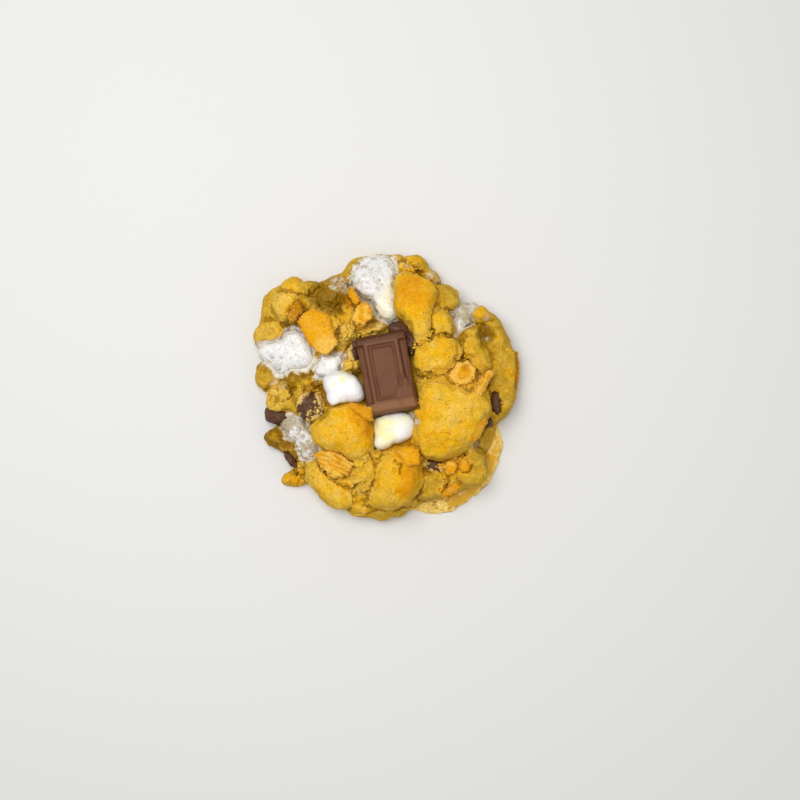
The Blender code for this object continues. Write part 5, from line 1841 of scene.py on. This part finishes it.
crackerTones = {
    "toasted": (0.80, 0.375, 0.004),
    "deep": (0.66, 0.25, 0.0),
    "pale": (0.84, 0.51, 0.09),
    "hollowShade": (0.42, 0.17, 0.015),
    "dark": (0.47, 0.185, 0.0),
    "roughness": (0.6, 0.8),
    "specular": 0.08,
}


def makeCrackerMaterial():
    material, tree, shader = newMaterial("grahamCracker")
    tones = crackerTones
    middle = objectNoise(tree, 1.7, 4.0, 0.6)
    fine = objectNoise(tree, 0.5, 4.0, 0.65)
    colour = mixColours(tree, stretchTo(tree, middle, 0.4, 0.75), tones["toasted"], tones["deep"])
    colour = mixColours(tree, share(tree, "rim", 0.55), colour, tones["deep"])
    colour = mixColours(tree, attributeValue(tree, "dark"), colour, tones["dark"])
    patches = stretchTo(tree, objectNoise(tree, 3.4, 2.0), 0.45, 0.7, 0.0, 0.45)
    pale = maths(tree, "ADD", attributeValue(tree, "pale"), stretchTo(tree, fine, 0.4, 0.7, -0.2, 0.2))
    pale = maths(tree, "ADD", pale, patches, True)
    colour = mixColours(tree, maths(tree, "MULTIPLY", pale, 0.85), colour, tones["pale"])
    colour = mixColours(tree, share(tree, "side", 0.35), colour, tones["pale"])
    colour = mixColours(tree, share(tree, "hollowShade", 0.6), colour, tones["hollowShade"])
    colour = shaded(tree, colour, stretchTo(tree, fine, 0.25, 0.75, 0.80, 1.14))
    normal = bumpFrom(tree, fine, 0.12, 0.7)
    normal = bumpFrom(tree, objectCells(tree, 0.9), 0.09, 0.6, normal)
    finishShader(tree, shader, colour, spread(tree, middle, *tones["roughness"]), normal)
    shader.inputs["Specular IOR Level"].default_value = tones["specular"]
    return material


crackerMaterial = makeCrackerMaterial()
for name, plate in crackerShapes.items():
    finishPiece(makeCracker(name, *plate), "cracker", crackerMaterial, name)
print("crackers made")


# crumbs lying in the hollows and along the bar piece

# sizes are from and to; spots are x, y, radius, number
crumbKinds = {
    "doughCrumbs": {
        "slot": "dough",
        "size": (0.25, 0.85),
        "spots": [
            (-13.5, 19, 4.5, 12), (-8.5, 22.5, 3.6, 12), (12, 14, 2.4, 12), (12.4, 2, 1.6, 10),
            (12.2, -6.5, 1.8, 6), (-9, -40.5, 5, 34), (-20, -33.5, 6, 26), (-39, 32, 5.5, 8), (-42, -3, 5, 18),
            (31, 4, 5, 8), (27, -31.5, 6, 8), (8.5, 46, 4.5, 16), (-7, 33.5, 2.4, 6), (16, 4, 4, 26),
            (2, -26, 2.5, 6), (-13.5, 9, 3, 8), (18, 20, 3, 18), (29.5, 13, 3, 12), (-5, -27.5, 3.4, 20),
            (11.4, 16.2, 1.8, 6), (-15, -36, 4, 20), (-12, -44, 4, 16), (14.6, -29.4, 2.2, 14),
            (21, -31.6, 2.2, 12), (22.5, 27, 3, 12), (-30, -2, 4, 16), (-26, 12.5, 2, 6), (15, 16, 3, 12),
            (-23, 24, 3, 8),
        ],
    },
    "crackerCrumbs": {
        "slot": "cracker",
        "size": (0.25, 0.75),
        "spots": [
            (-12, 33.5, 4, 8), (-9, 25, 4, 8), (27, -31, 5.5, 6), (-36, -35.5, 5, 10), (-33, 28, 4.5, 3),
            (30.5, 4.5, 5, 5), (8, -27, 4, 4), (-20, -31, 6, 12), (24.8, -40.4, 4, 6), (-8, -9, 3, 4),
            (-21, 20, 5, 4), (37, 1, 4, 6),
        ],
    },
}


def spotOf(draw, x, y, radius):
    angle, away = draw.uniform(0, math.tau), radius * math.sqrt(draw.uniform())
    return x + away * math.cos(angle), y + away * math.sin(angle)


def topHeight(x, y, trees):
    start, down = Vector((x * mm, y * mm, skyHeight * mm)), Vector((0, 0, -1))
    hits = [tree.ray_cast(start, down)[0] for tree in trees]
    return max([hit.z for hit in hits if hit], default=None)


def landingHeight(x, y, ground, bare):
    # height of the top there, or nothing where a bare piece covers it
    onGround, onBare = topHeight(x, y, ground), topHeight(x, y, bare)
    return onGround if onGround is not None and (onBare is None or onGround > onBare) else None


def makeCrumbs(name, kind, ground, bare):
    draw = np.random.default_rng(len(name) * 7)
    bm = bmesh.new()
    for x, y, radius, number in kind["spots"]:
        for _ in range(number):
            crumbX, crumbY = spotOf(draw, x, y, radius)
            size, turn = draw.uniform(*kind["size"]), draw.uniform(0, math.tau)
            thin = draw.uniform(0.5, 0.9, 2)
            axis = Vector(draw.uniform(-1, 1, 3)).normalized()
            height = landingHeight(crumbX, crumbY, ground, bare)
            if height is None:
                continue
            place = (
                Matrix.Translation((crumbX * mm, crumbY * mm, height + 0.05 * size * mm))
                @ Matrix.Rotation(turn, 4, axis)
                @ Matrix.Diagonal((size * mm, size * thin[0] * mm, size * thin[1] * mm, 1.0))
            )
            for vert in bmesh.ops.create_icosphere(bm, subdivisions=2, radius=1.0)["verts"]:
                lumpy = 1.0 + 0.45 * noise.noise(vert.co * 1.6 + Vector((crumbX, crumbY, 0)))
                vert.co = place @ (vert.co * lumpy)
    return objectFrom(bm, name)


def treesOf(names):
    graph = bpy.context.evaluated_depsgraph_get()
    graph.update()
    pieces = [bpy.data.objects[objectName(name)] for name in names]
    return [BVHTree.FromObject(piece, graph) for piece in pieces]


# crumbs lie on these two chips as well as on the dough and the crackers, and on nothing else
crumbedChips = ["chunk_behind_bar", "chip_under_boulder"]
ground = treesOf(["bakedDough", *crumbedChips, *crackerShapes])
bareChips = [name for name in chipLumps if name not in crumbedChips]
bare = treesOf(["barPiece", *bareChips, *mallowOutlines, *meltOutlines, "runMarshmallow"])
for name, kind in crumbKinds.items():
    crumbMaterial = {"dough": doughMaterial, "cracker": crackerMaterial}[kind["slot"]]
    finishPiece(makeCrumbs(name, kind, ground, bare), kind["slot"], crumbMaterial)
print("crumbs made")


# floor, light and camera

studio = {
    "floorSize": 3.0,
    "floorColour": (0.74, 0.735, 0.72),
    "floorRoughness": 0.7,
    "worldLight": 0.40,
    "keyPlace": (-0.13, 0.13, 0.64),
    "keySize": 0.42,
    "keyPower": 3.52,
    "fillPlace": (0.35, -0.30, 0.45),
    "fillSize": 0.5,
    "fillPower": 0.3,
    "lens": 50.0,
    "clipStart": 0.01,
    "eye": (0.00546, -0.00507, 0.448),
}


def makeFloor():
    bm = bmesh.new()
    bmesh.ops.create_grid(bm, x_segments=1, y_segments=1, size=studio["floorSize"] / 2)
    floor = objectFrom(bm, "studioFloor")
    material, _, shader = newMaterial("paleFloor")
    shader.inputs["Base Color"].default_value = (*studio["floorColour"], 1.0)
    shader.inputs["Roughness"].default_value = studio["floorRoughness"]
    floor.data.materials.append(material)


def makeLight(name, place, size, power):
    light = bpy.data.lights.new(name, "AREA")
    light.size = size
    light.energy = power
    lamp = bpy.data.objects.new(name, light)
    bpy.context.scene.collection.objects.link(lamp)
    lamp.location = place
    lamp.rotation_euler = (-Vector(place)).to_track_quat("-Z", "Y").to_euler()


def makeWorld():
    world = bpy.data.worlds.new("studio")
    world.use_nodes = True
    background = world.node_tree.nodes["Background"]
    background.inputs["Color"].default_value = (1.0, 1.0, 1.0, 1.0)
    background.inputs["Strength"].default_value = studio["worldLight"]
    bpy.context.scene.world = world


def makeCamera():
    camera = bpy.data.cameras.new("camera")
    camera.lens = studio["lens"]
    camera.clip_start = studio["clipStart"]
    eye = bpy.data.objects.new("camera", camera)
    bpy.context.scene.collection.objects.link(eye)
    eye.location = studio["eye"]
    bpy.context.scene.camera = eye


makeFloor()
makeLight("key", studio["keyPlace"], studio["keySize"], studio["keyPower"])
makeLight("fill", studio["fillPlace"], studio["fillSize"], studio["fillPower"])
makeWorld()
makeCamera()
bpy.context.scene.view_settings.view_transform = "Standard"
print("studio made")
